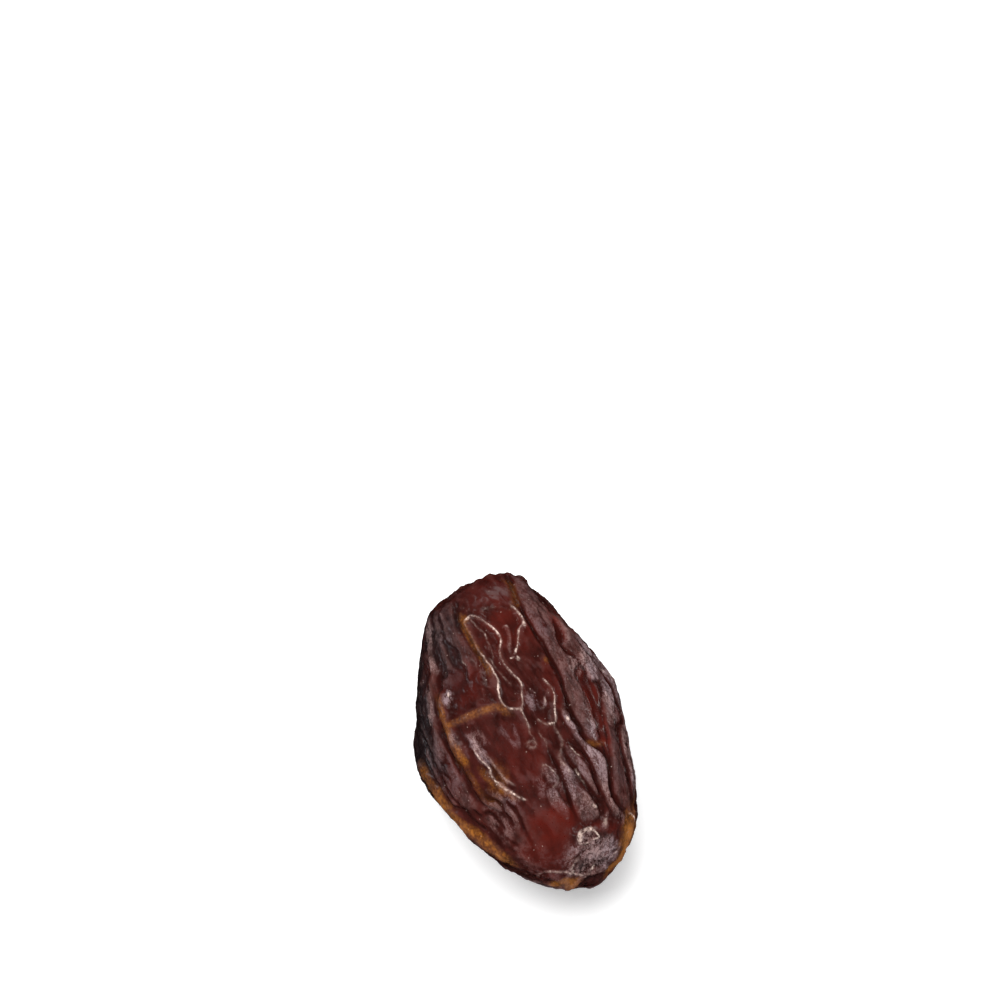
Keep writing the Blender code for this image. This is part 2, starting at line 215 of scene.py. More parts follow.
# Left is the side towards lower bearings when the route is followed towards the pointed end.
FOLDS = (
    Fold("long crease right of the top", -0.55, 0.26, 0.34, 1.3,
         ((-19, 21), (-14.7, 17), (-12.3, 14.5), (-9.4, 17.3), (-4.5, 21), (1, 25), (4.6, 25.5), (7.3, 28),
          (9.1, 32), (10.4, 40), (12, 43))),
    Fold("rise under the first plate", 0.10, 1.5, 1.5, 3.0,
         ((-18, 29), (-14, 26), (-10, 25), (-6, 26), (-3, 29), (0, 31), (4, 33), (8.2, 36))),
    Fold("hollow between the plates, stem half", -0.30, 0.8, 0.8, 2.6,
         ((-10, 34), (-7.5, 35), (-5, 33))),
    Fold("rise under the second plate", 0.14, 1.4, 1.4, 3.0,
         ((-11, 37), (-8, 43), (-4, 46), (-1, 51.5), (2, 56), (5, 53), (8, 50), (11, 50), (14, 51),
          (17.5, 58))),
    Fold("hollow between the plates, middle", -0.36, 1.3, 1.3, 2.8,
         ((-1.5, 40), (1, 44), (4, 45), (6.5, 43.5), (9.5, 43))),
    Fold("crease between the plates, pointed half", -0.45, 0.30, 0.34, 1.4,
         ((8.5, 43), (11.2, 43.5), (13.6, 43.5), (15.3, 43.7), (16.5, 48), (17.4, 56))),
    Fold("rise under the third plate", 0.10, 1.2, 1.2, 3.0,
         ((8, 27), (10, 33), (12, 36), (14, 38), (16, 42), (18, 55))),
    Fold("hollow right of the second plate", -0.30, 0.5, 0.5, 2.2,
         ((4.6, 61), (6.5, 56), (9, 56.5), (11.5, 58.5), (14.5, 62))),
    Fold("rise under the flank plate", 0.18, 1.3, 1.5, 3.0,
         ((-6, 60), (-2, 68), (2, 72), (5, 68), (8, 66), (11, 68), (14, 71))),
    Fold("shoulder ridge by the stem", 0.35, 0.9, 1.0, 2.0,
         ((-15, 45), (-11, 49), (-8, 56), (-4, 66), (0, 75))),
    Fold("hollow at the right shoulder", -0.45, 0.9, 0.9, 2.0,
         ((-16, 38), (-12.5, 40), (-9, 49), (-5.5, 55), (-2, 58))),
    Fold("lower crease one", -0.48, 0.28, 0.28, 1.4,
         ((8, 18), (10.3, 26.5), (12.4, 30.5), (14.7, 32), (16.8, 38))),
    Fold("lower crease two", -0.48, 0.28, 0.28, 1.4,
         ((10.6, 13), (12.8, 19.3), (14.9, 25.5), (16.7, 34.5), (17.6, 42))),
    Fold("ridge between the lower creases", 0.28, 0.8, 0.8, 2.5,
         ((10, 21), (12, 25), (14, 28), (16.2, 34.5))),
    Fold("lower crease three", -0.36, 0.30, 0.30, 1.5,
         ((8.5, 4), (11, 7), (13, 8.5), (15.3, 9.5), (17.6, 12))),
    Fold("ridge beside lower crease three", 0.20, 0.7, 0.7, 2.2,
         ((9, 11), (11.3, 12), (13.5, 15))),
    Fold("swell under the loop, left run", 0.26, 0.60, 0.42, 1.7,
         ((-12.4, -22), (-8, -19.5), (-5.7, -17.5), (-2.7, -14.5), (0, -15), (1.8, -15), (3, -11.5),
          (3.4, -8), (3.3, -5.6))),
    Fold("swell under the loop, right run", 0.22, 0.45, 0.50, 1.7,
         ((-12, -16), (-10.2, -10), (-8, -4.6), (-6.6, -3.6), (-5, -6), (-2.2, -3.5), (-0.4, -0.5),
          (1.5, -2.4), (3.3, -5.6), (5, -4.5), (6.8, -4), (8.2, -3.6))),
    Fold("swell under the hooked ridge", 0.24, 0.45, 0.50, 1.7,
         ((-12.5, 10), (-10.3, 13.5), (-9, 13.7), (-7.8, 9.5), (-5.5, 5.5), (-4.3, 2.6))),
    Fold("swell under the small loop", 0.22, 0.42, 0.45, 1.7,
         ((-0.8, 13.5), (1, 16.5), (2.3, 17.2), (3.5, 15.3), (5.4, 13.6), (6, 10.5), (5.5, 7.5),
          (4.5, 3.4))),
    Fold("swell under the long ridge, left lower part", 0.26, 0.55, 0.42, 1.7,
         ((6.2, -38.5), (8.1, -36.5), (9.2, -34), (11, -34.5), (12.8, -29.5), (14.2, -23.5), (14.9, -19))),
    Fold("soft ridge beside it", 0.24, 0.55, 0.50, 2.0,
         ((4.2, -38), (6.4, -36), (9, -31), (11.2, -28.5), (13, -22))),
    Fold("valley between the two", -0.22, 0.28, 0.28, 1.8,
         ((6.6, -37.5), (8.2, -35), (9.8, -33), (11.3, -31), (12.6, -27.5), (13.6, -22.5))),
    Fold("cross ridge of the left side", 0.38, 0.9, 0.9, 2.0,
         ((1.2, -52), (1.9, -38), (2.2, -28), (2.5, -18), (3.4, -12))),
    Fold("left seam ridge", 0.40, 0.8, 0.9, 2.0,
         ((-6, -53), (-3, -53.5), (1, -52.5), (4, -50), (7.5, -47.5))),
    Fold("long crease of the left side", -0.50, 0.26, 0.30, 1.4,
         ((-1, -57), (2.6, -56), (5.3, -54), (8.7, -51), (11.7, -49.5), (13.3, -47.5), (15, -40),
          (17, -36.5))),
    Fold("left flank crease", -0.46, 0.34, 0.38, 1.5,
         ((-14.5, -51), (-11, -50.5), (-8, -50), (-5, -51.5), (-2, -57))),
    Fold("left flank ridge", 0.35, 0.9, 0.9, 2.0,
         ((-12, -58), (-8, -54.5), (-5, -58), (-2, -60), (2, -61), (6, -62))),
    Fold("left rim", 0.45, 1.0, 1.0, 2.2,
         ((1, -84), (5, -79), (9, -76), (12.5, -71), (15.3, -69), (17.8, -61), (20, -58))),
    Fold("crease above the left rim", -0.28, 0.5, 0.5, 1.8,
         ((-2, -74), (3, -70), (8, -66), (13, -61), (17, -52))),
    Fold("left shoulder crease", -0.38, 0.30, 0.36, 1.6,
         ((-17, -27.5), (-14.7, -27), (-12.6, -27.5), (-10.7, -25), (-8.5, -22.5), (-6.8, -20.5), (-5.3, -19),
          (-4, -18), (-2.4, -17.5))),
    Fold("small crease low on the left", -0.38, 0.36, 0.36, 1.6,
         ((13.3, -35), (13.9, -34), (14.9, -32), (15.6, -29.5), (17.5, -29), (19.5, -30))),
    Fold("small ridge low on the left", 0.24, 0.32, 0.30, 1.8,
         ((11.8, -49), (12.9, -48), (13.8, -45), (14.1, -41), (14.7, -39), (15.7, -38), (16.6, -39.5))),
    Fold("crease above the point", -0.16, 0.55, 0.55, 2.0,
         ((18.7, 14), (18.9, 24), (18.6, 34), (18.6, 46), (19, 60))),
    Fold("rim of the pointed end", 0.40, 0.6, 0.7, 1.8,
         ((22.2, -40), (22.9, -20), (23.05, 20), (22.9, 60), (22, 85)), 1.2),
    Fold("right rim of the point", 0.35, 0.7, 0.8, 2.0,
         ((15, 74), (17.5, 74), (19.2, 79), (20.8, 88), (21.6, 100))),
    Fold("wrinkle on the first plate", -0.16, 0.16, 0.16, 1.6,
         ((-13.5, 27), (-9, 27), (-5, 29.5), (-2, 33))),
    Fold("oblique wrinkle of the first plate", -0.20, 0.18, 0.18, 1.6,
         ((-4.8, 30), (-4.2, 33), (-3.3, 38))),
    Fold("ripple in the centre, left", 0.10, 0.35, 0.35, 1.8,
         ((4.6, -20), (6, -18.5), (7.6, -15.5), (8.8, -15))),
    Fold("ripple in the centre, right", 0.10, 0.35, 0.35, 1.8,
         ((4.6, -12.5), (6.4, -12), (8.8, -11))),
    Fold("ripple left of the hook", 0.14, 0.35, 0.35, 1.8,
         ((-9.6, 1), (-8, 2.5), (-6.4, 1), (-4.6, -1))),
    Fold("ripple inside the small loop", 0.14, 0.26, 0.30, 1.8,
         ((1.6, 11.5), (2.6, 12.4), (3.7, 9.6), (3.4, 7))),
    Fold("upper flank ripple, left", 0.18, 0.4, 0.45, 1.8,
         ((-9, -52), (-7, -54), (-5, -57), (-3.4, -60.5))),
    Fold("lower flank ripple, left", 0.18, 0.4, 0.4, 1.8,
         ((-6, -62), (-4, -61.5), (-2, -59.5), (0, -59), (2.4, -59))),
    Fold("sinuous crease low on the left", -0.42, 0.34, 0.34, 1.6,
         ((12.7, -56), (13.6, -55), (14.2, -53), (14.3, -48), (14.6, -46), (15.3, -44), (16.3, -43),
          (17.6, -42)), 0.8),
    Fold("second sinuous crease", -0.42, 0.34, 0.34, 1.6,
         ((12.2, -45), (13.1, -43), (13.5, -39), (14.3, -37), (15.3, -37), (16.2, -35.5), (17.4, -35)), 0.8),
    Fold("ridge beside the second sinuous crease", 0.18, 0.26, 0.26, 1.7,
         ((12.6, -40), (13.6, -36.5), (14.4, -34.5), (15.4, -34), (16.6, -32)), 0.8),
    Fold("third sinuous crease", -0.36, 0.32, 0.32, 1.6,
         ((15.8, -47), (16.8, -46), (18, -45), (19.2, -40)), 0.8),
    Fold("ridge at the bottom, left", 0.18, 0.3, 0.3, 1.8,
         ((19.6, -42), (20.8, -43), (21.6, -38))),
    Fold("long crease of the right flank", -0.44, 0.30, 0.36, 1.4,
         ((-15, 86), (-11, 88), (-6.5, 86), (-2, 91), (3, 97), (8, 97), (13, 101))),
    Fold("ridge beside it", 0.26, 0.7, 0.8, 2.2,
         ((-14, 94), (-9, 95), (-4, 95), (1, 101), (7, 105))),
    Fold("crease under the right flank", -0.40, 0.28, 0.34, 1.4,
         ((-18, 98), (-12, 103), (-6, 105), (0, 112), (6, 113), (10, 119))),
    Fold("crease of the right underside", -0.36, 0.28, 0.32, 1.4,
         ((-9, 122), (-3, 127), (4, 129), (11, 124), (16, 126))),
    Fold("crease under the left flank", -0.40, 0.28, 0.34, 1.4,
         ((-17, -103), (-11, -106), (-4, -112), (3, -114), (10, -110), (15, -104))),
    Fold("crease of the left underside", -0.36, 0.28, 0.32, 1.4,
         ((-13, -126), (-6, -131), (1, -135), (8, -131))),
)

SWELLS = (
    Swell("hollow inside the loop", -0.30, -8.5, -11, 3.0, 1.6),
    Swell("hollow between the loop and the hook", -0.25, -8.5, 4, 3.0, 1.6),
    Swell("hollow above the cross ridge", -0.60, -3.5, -36, 4.4, 3.2),
    Swell("hollow below the cross ridge", -0.50, 8.0, -21, 4.5, 3.4),
    Swell("hollow at the end of the loop", -0.28, 1.0, -8, 2.4, 1.1),
    Swell("hollow inside the small loop", -0.25, 3.6, 10, 2.0, 1.2),
    Swell("smooth bulge over the point", 0.45, 18.3, -4, 2.0, 2.4),
    Swell("plate left of lower crease three", 0.25, 15.8, 1, 1.7, 1.8),
    Swell("plate right of lower crease three", 0.30, 16.6, 20, 2.2, 1.6),
    Swell("notch in the right shoulder", -1.9, -14.0, 60, 4.5, 3.2),
    Swell("dip in the right flank", -0.7, -5.2, 66, 3.0, 2.4),
    Swell("flat at the left shoulder", -0.5, -18.5, -45, 2.5, 2.5),
    Swell("dip at the left of the stem end", -0.7, -21.2, -30, 2.4, 3.0),
    Swell("fullness low on the left", 0.30, 6.5, -104, 3.6, 3.0),
    Swell("hollow of the pointed end", -0.40, 22.6, 60, 1.6, 2.2),
    Swell("oval blister near the lower creases, left", 0.16, 11.2, -1.5, 1.2, 0.75),
    Swell("oval blister near the lower creases, right", 0.16, 12.6, 13.5, 1.3, 0.7),
    Swell("blister beside the hook", 0.14, -6.2, 12, 1.6, 0.7),
    Swell("dent in the scarlet skin", -0.16, 18.6, -14, 1.4, 0.9),
)

# The pale crests carry painted highlights as well as the skin's own paleness. The bright edge at the right of
# the point, the bright line on the right flank, the bright fold of the left plate, the streak on the pointed
# end and the pale ring over the point are painted glints.
WIRES = (
    Wire("loop, left run", 0.17, 0.125,
         ((-12.1, -21.5, 0.6), (-11.6, -23, 0.25), (-10.6, -22.6, 0.12), (-9.2, -21, 0.15), (-7.8, -20, 0.25),
          (-6.5, -19, 0.25), (-5.1, -17, 0.7), (-4.1, -15.6, 0.8), (-3.2, -14.3, 0.7), (-2.2, -13.7, 0.85),
          (-1.4, -13, 0.9), (-0.4, -14, 1.0), (0.7, -15, 0.7), (1.6, -15, 0.8), (2.4, -14, 0.8),
          (2.9, -11.3, 0.75), (3.2, -7.5, 0.6), (3.25, -5, 0.8))),
    Wire("loop, right run", 0.15, 0.115,
         ((-12.1, -21.5, 0.6), (-12.2, -19, 0.6), (-12, -16, 0.7), (-11.2, -12.3, 0.6), (-10.3, -9.8, 0.65),
          (-9.6, -7.3, 0.8), (-8.7, -5.2, 0.9), (-7.8, -4, 1.0), (-7, -3.7, 0.9), (-6.2, -5.2, 0.7),
          (-5.4, -6.6, 0.3), (-4.5, -7.3, 0.35), (-3.7, -6.8, 0.5), (-2.8, -5.6, 0.5), (-2, -4.2, 0.5),
          (-1.2, -2, 0.55), (-0.3, -0.2, 0.5), (0.4, -0.2, 0.6), (1.1, -1.2, 0.6), (2, -2.1, 0.9),
          (2.7, -2.6, 0.8), (3.25, -5, 0.8))),
    Wire("tail of the loop", 0.11, 0.105,
         ((3.25, -5, 0.8), (4.5, -4, 0.6), (5.8, -3.4, 0.5), (6.8, -3.8, 0.35), (7.5, -2.2, 0.25),
          (8, -0.9, 0.1))),
    Wire("hooked ridge", 0.16, 0.125,
         ((-12.3, 10, 0.6), (-11.4, 12, 0.7), (-10.4, 13.3, 0.8), (-9.5, 14, 0.8), (-8.8, 13.6, 0.8),
          (-8.4, 11.2, 0.7), (-7.8, 9, 0.75), (-6.7, 7, 0.7), (-5.5, 5, 0.8), (-4.9, 3, 0.85),
          (-4.4, 2, 1.0))),
    Wire("faint ridge left of the hook", 0.09, 0.15,
         ((-9.1, 0, 0.15), (-9.1, 3, 0.3), (-8.1, 3, 0.12), (-6.9, 2, 0.3), (-5.8, 0, 0.15),
          (-4.6, -1, 0.1))),
    Wire("faint ridge inside the loop", 0.09, 0.12,
         ((-11.7, -19, 0.25), (-10.7, -17, 0.3), (-9.8, -15, 0.2), (-8.8, -12.4, 0.45), (-7.7, -12, 0.2),
          (-6.8, -11.4, 0.12), (-5.5, -11.4, 0.12), (-4.4, -12, 0.1))),
    Wire("second faint ridge inside the loop", 0.08, 0.11,
         ((-5, -14, 0.2), (-4.1, -13, 0.3), (-3.1, -12, 0.3), (-2.1, -10, 0.25), (-1.1, -8, 0.2),
          (-0.4, -6, 0.1))),
    Wire("faint ridge above the hook", 0.07, 0.13,
         ((-12.4, -12, 0.1), (-12.6, -6, 0.25), (-12.5, -1, 0.2), (-12.2, 4, 0.1))),
    Wire("small loop", 0.17, 0.125,
         ((-0.3, 14.3, 0.8), (0.9, 17, 0.6), (1.8, 18.3, 0.8), (2.4, 18.5, 1.0), (3.2, 17.3, 0.7),
          (3.7, 16.6, 0.9), (4.6, 15.9, 1.0), (5.8, 14.7, 1.0), (6.1, 12.7, 1.0), (6.1, 10.1, 1.0),
          (5.7, 6.5, 0.7), (5.1, 3.7, 0.4))),
    Wire("soft vein below the small loop", 0.13, 0.19,
         ((6.2, 12.5, 0.1), (7.6, 14.2, 0.25), (8.7, 15.4, 0.3), (9.9, 12.6, 0.3), (10.9, 10.2, 0.25),
          (11.8, 12.2, 0.35), (12.4, 14.2, 0.35), (13.3, 14.6, 0.25))),
    Wire("thin line beside the curl", 0.07, 0.11,
         ((6.5, 1.2, 0.2), (7.5, 3, 0.25), (8.3, 4.9, 0.2), (9.3, 4, 0.1))),
    Wire("wrinkle inside the small loop", 0.08, 0.12,
         ((2.2, 12.0, 0.2), (2.9, 12.0, 0.5), (3.6, 9.5, 0.4), (3.5, 7.4, 0.2))),
    Wire("long ridge, left lower part", 0.18, 0.125,
         ((5.9, -39, 0.2), (6.7, -39, 0.5), (7.5, -38, 0.7), (8.3, -37, 0.7), (9.1, -35, 0.7),
          (9.8, -34, 0.8), (10.4, -34.8, 0.7), (11.2, -34, 0.75), (11.9, -32.6, 0.95), (12.4, -31, 0.8),
          (13, -29, 0.9), (13.5, -27, 1.0), (14.1, -24.5, 0.8), (14.6, -22, 0.8), (14.9, -19.5, 0.7))),
    Wire("soft ridge beside it", 0.09, 0.15,
         ((4.6, -37.5, 0.2), (6.2, -37, 0.2), (7.5, -35, 0.15), (8.3, -32, 0.2), (9.4, -31, 0.22),
          (10.6, -29.4, 0.28), (11.6, -27.9, 0.22), (12.2, -25.6, 0.28), (12.8, -23, 0.15))),
    Wire("short bright wrinkle", 0.12, 0.12,
         ((9.4, 19.1, 0.3), (9.9, 20.6, 0.9), (10.5, 22.5, 0.9), (11, 24.9, 0.5))),
    Wire("second short wrinkle", 0.09, 0.11,
         ((12.4, 19.6, 0.2), (13, 20.5, 0.8), (13.9, 22.3, 0.3), (14.9, 25.2, 0.15))),
    Wire("edge of the left blister", 0.09, 0.12,
         ((11.9, -3.2, 0.2), (11.3, -1.6, 0.35), (11.6, 2.1, 0.5), (12.4, 4.2, 0.5), (13.5, 6, 0.25),
          (14.3, 1.4, 0.35))),
    Wire("bright fold of the left plate", 0.08, 0.12,
         ((-6.5, -32.4, 0.3), (-6, -31.2, 0.6), (-5.3, -29.8, 0.3))),
    Wire("bright edge at the right of the point", 0.10, 0.12,
         ((17.3, 63, 0.4), (17.1, 68, 0.8), (17.3, 73, 1.0), (17.6, 78, 1.0))),
    Wire("bright line on the right flank", 0.06, 0.09, ((-2.6, 59, 0.3), (-2, 66, 0.7), (-1.4, 77, 0.5))),
    Wire("line on the pointed end", 0.07, 0.10,
         ((20.6, 70, 0.4), (21.1, 69, 0.4), (21.5, 68, 0.3), (21.8, 70, 0.1))),
    Wire("bumpy rim of the pointed end", 0.12, 0.17,
         ((21.7, -62, 0.2), (22.2, -34, 0.4), (22.55, -8, 0.5), (22.75, 16, 0.4), (22.8, 42, 0.25),
          (22.7, 61, 0.15))),
    Wire("streak on the pointed end", 0.10, 0.22,
         ((21.6, 19, 0.2), (22.1, 11, 0.5), (22.4, 5, 0.6), (22.7, 12, 0.45))),
    Wire("pale ring over the point", 0.15, 0.105,
         ((19.7, 18.5, 0.9), (19.5, 22, 0.9), (19.3, 25, 1.0), (19.3, 29, 0.9), (19.5, 33, 0.8),
          (19.8, 37, 0.95), (19.95, 39, 0.9), (20.1, 38.6, 0.7), (20.2, 34, 0.8), (20.4, 30, 0.6),
          (20.5, 26, 0.5), (20.6, 22, 0.7), (20.5, 18.2, 1.0), (20, 16.4, 1.0), (19.5, 16.2, 0.9))),
)

TAIL_CURL = Ring("curl at the end of the tail", 0.10, 8.2, -4.1, 0.56, 0.16, 0.13)

# The outlines run from the stem along one edge and back along the other.
PLATES = (
    Plate("first plate", 0.20, 0.24,
          ((-18.6, 25), (-16, 21), (-13.5, 18), (-11, 17), (-8.7, 18.3), (-6.1, 21), (-2.9, 23.5), (-0.3, 26),
           (2.5, 25.5), (4.9, 27), (6.9, 29.8), (8.4, 31), (9, 35), (8.8, 40), (7.2, 41), (5, 39.7),
           (3.2, 38.5), (1.5, 37), (-0.5, 35), (-1.6, 37.5), (-2.4, 41), (-3.4, 38), (-4.2, 33), (-5.5, 30.5),
           (-7.8, 33), (-9.5, 35), (-11, 34), (-13.8, 35), (-16.5, 33), (-18.5, 31)), Edge.DARK),
    Plate("second plate", 0.26, 0.14,
          ((-11.5, 33), (-10.1, 34.5), (-8.4, 37), (-6.4, 37.5), (-4.9, 33.5), (-3.9, 36), (-3, 40.5),
           (-2.3, 43.3), (-1.3, 45), (-0.1, 46.5), (0.1, 52), (1.1, 53), (2.4, 52), (4, 49.5), (5.5, 49),
           (8, 47.5), (9.5, 47), (11, 46.6), (13, 46.2), (14.6, 45.4), (15.7, 47), (16.8, 53), (17.7, 61),
           (17.2, 66), (15, 61), (13, 58.5), (11, 57), (9, 55.5), (6.8, 56.5), (4.6, 58.5),
           (2.6, 61), (0.6, 63), (-1, 60), (-2.5, 56), (-4, 52), (-6, 48), (-8.5, 44.5),
           (-10.5, 40)), Edge.DARK),
    Plate("third plate", 0.20, 0.64,
          ((3.5, 21.5), (5, 25), (7, 27.8), (8.6, 29.3), (9.8, 33), (10.3, 38), (11.5, 41.5), (13.9, 42.2),
           (15.2, 42), (16.3, 46), (16.9, 51), (17.8, 61), (18.8, 62), (18.5, 54), (17.2, 43.5), (15.8, 38),
           (15, 34.8), (13.1, 32.4), (11.6, 30), (10, 27.4), (8.7, 25), (7, 22),
           (5, 19.5)), Edge.DARK),
    Plate("flank plate", 0.24, 0.70,
          ((-7, 54), (-4.5, 55.5), (-2.5, 59), (0, 65.5), (2.2, 67), (3.2, 69), (5, 67), (6, 61.5),
           (7.6, 59.5), (9.4, 60), (11.5, 62), (13.5, 65), (15.2, 69), (15, 76), (12, 77), (8, 78),
           (4, 79), (0, 79), (-4, 73), (-6.5, 63))),
    Plate("strip between the lower creases", 0.16, 0.34,
          ((8.8, 17.5), (9.9, 20), (11, 23.8), (12.6, 27.5), (14.5, 31), (16.3, 35.5), (16.4, 32),
           (14.8, 26.5), (13.2, 22), (11.8, 18.5), (10.3, 16), (9.2, 15.5))),
    Plate("left oval over the point", 0.20, 0.45,
          ((14.2, -3.5), (14.1, -0.5), (14.5, 2), (15.9, 4.3), (17.1, 8.5), (17.9, 8.5), (18, 4), (17.3, -2),
           (15.8, -5))),
    Plate("right oval over the point", 0.22, 0.54,
          ((14.2, 12), (14.4, 17), (15, 21.5), (15.8, 25.5), (17, 31), (17.6, 34), (18.2, 34), (18.9, 27),
           (18.9, 22), (18.3, 16), (16.7, 11.3), (15.2, 10))),
    Plate("left blister", 0.12, 0.26,
          ((11.3, -1.6), (11.6, 2.1), (12.4, 4.2), (13.5, 6), (14.3, 1.4), (13.1, -1.8), (11.9, -3.2))),
    Plate("left shoulder plate", 0.18, 0.08,
          ((-16.5, -31), (-14, -30), (-11.6, -29.6), (-8.6, -25.8), (-6, -22), (-4.3, -21.5), (-3.6, -27),
           (-3.1, -30.8), (-4, -30.8), (-5.1, -29.8), (-6.5, -32.3), (-8, -32), (-9.2, -36), (-10.7, -39),
           (-12.8, -39.5), (-14.9, -41), (-16.5, -37)), Edge.SOFT),
    Plate("small left plate", 0.16, 0.06,
          ((-11.8, -45.5), (-9.3, -40.5), (-8.2, -41.5), (-6.7, -39.5), (-5.2, -35.5), (-4.3, -33.5),
           (-3.4, -37), (-2.9, -43), (-2.6, -47.5), (-4.2, -50), (-5.6, -49), (-5.5, -45), (-7, -44.5),
           (-9, -45.5)), Edge.SOFT),
    Plate("band on the left flank by the stem", 0.16, 0.45,
          ((-16.5, -53), (-14.4, -50.5), (-12.1, -50), (-10.3, -51), (-10, -54), (-11.5, -56.5), (-14.4, -58),
           (-16.5, -57)), Edge.FAINT),
    Plate("band in the middle of the left flank", 0.16, 0.60,
          ((-10, -51.5), (-8.3, -49), (-6.8, -49), (-6.2, -51.5), (-7.6, -55), (-9.5, -55.5)),
          Edge.FAINT),
    Plate("low band on the left flank", 0.18, 0.55,
          ((-6.6, -57.5), (-5.2, -56), (-3.5, -56.5), (-1.5, -57), (0.4, -59.5), (0, -64), (-3.5, -64.5),
           (-6.2, -62.5)), Edge.FAINT),
    Plate("speckled plate low on the left", 0.20, 0.16,
          ((0.3, -59.5), (2.6, -57.5), (5.3, -55.5), (8.4, -53.5), (11, -52), (12.8, -51), (13.3, -53.5),
           (12.6, -57.5), (12.2, -61), (11, -66), (9, -69), (7, -70), (5, -71.5), (2.5, -72.5), (0.5, -69))),
)

STRIPES = {
    Paint.AMBER: (
        Stripe(0.60, 0.55, ((1.2, -54), (1.9, -36), (2.2, -29.5), (2.3, -19), (3, -15), (3.6, -11))),
        Stripe(0.7, 0.5, ((-3.5, -54), (-1, -53.5), (1, -52.5), (3, -51.5), (6, -48.5), (8, -47))),
        Stripe(0.5, 0.45,
               ((-13.5, -26), (-12, -25), (-10.6, -24), (-8.5, -22), (-6.5, -20), (-4.5, -17.5),
                (-2.5, -16))),
        Stripe(0.30, 0.6, ((-18, 18), (-15, 17), (-12.5, 14), (-11.6, 11))),
        Stripe(0.75, 1.15, ((3, -81.5), (4.6, -80), (6.4, -78), (9.2, -75), (11.2, -73))),
        Stripe(0.95, 0.80,
               ((9.2, -76), (11.2, -73.5), (13.5, -69), (16.5, -61.5), (18.3, -58.5), (20.3, -58))),
        Stripe(1.0, 0.7, ((12.5, 76), (14.4, 76), (16.4, 74))),
        Stripe(1.0, 1.6, ((16.8, 68), (18.2, 69), (19.4, 73), (20.4, 78))),
        Stripe(1.0, 1.5, ((16.4, 84), (18.2, 88), (19.4, 92), (20.8, 95))),
        Stripe(1.0, 0.9, ((20.2, 80), (21.0, 83), (21.6, 87), (22.3, 96))),
        Stripe(0.95, 0.65, ((21.2, -120), (21.9, -104), (22.3, -78), (22.7, -36), (22.95, 5), (23.0, 50))),
        Stripe(0.55, 0.40, ((9.1, 31), (9.3, 37), (9.1, 43))),
        Stripe(0.4, 0.5, ((9, -40), (11, -37), (13, -31), (14.4, -25))),
        Stripe(0.3, 0.5, ((8, -50), (10, -47), (12.5, -45), (14, -40))),
    ),
    # Painted glow of light through the thin flesh at the point's rims, lifting rims that face away from the
    # light
    Paint.GLOW: (
        Stripe(0.85, 1.50, ((17.8, 74), (18.6, 76), (19.5, 80))),
        Stripe(0.60, 0.75, ((19.4, 79), (20.6, 84), (21.6, 88), (22.2, 96))),
        Stripe(0.30, 0.50, ((21.6, -112), (22.2, -80), (22.65, -36), (22.95, 5), (23.0, 40))),
    ),
    Paint.RED: (
        # The first red stripe lifts the underside rim of the point, which faces down into shade: painted
        # light
        Stripe(0.8, 1.3, ((21.4, 96), (22.0, 112), (22.4, 150))),
        Stripe(0.9, 0.9, ((-10, 34), (-7.5, 36), (-5.5, 33))),
        Stripe(1.0, 1.3, ((-1.6, 39), (1, 43.5), (4, 44), (6.5, 44), (9.5, 44))),
        Stripe(0.8, 0.8, ((2.8, 62), (3.6, 62), (4.6, 63))),
    ),
    # Bloom of sugar on the tops of small ridges, with painted sheen
    Paint.BLOOM: (
        Stripe(0.45, 0.45,
               ((4.6, -38), (6.5, -37), (8.2, -34.5), (9.8, -32.5), (11.3, -30.5), (12.6, -27.5))),
        Stripe(0.28, 0.35, ((4.6, -20), (6, -18.5), (7.6, -15.5), (8.8, -15))),
        Stripe(0.28, 0.30, ((4.6, -12.5), (6.4, -12), (8.8, -11))),
        Stripe(0.25, 0.35, ((-9.6, 1), (-8, 2.5), (-6.4, 1), (-4.6, -1))),
        Stripe(0.30, 0.30, ((1.6, 11.5), (2.6, 12.4), (3.7, 9.6), (3.4, 7))),
    ),
}


def patches(*rows: tuple) -> tuple:
    """Return a patch for each row of its strength, place, half length, half width and turn."""
    return tuple(Patch(*row) for row in rows)


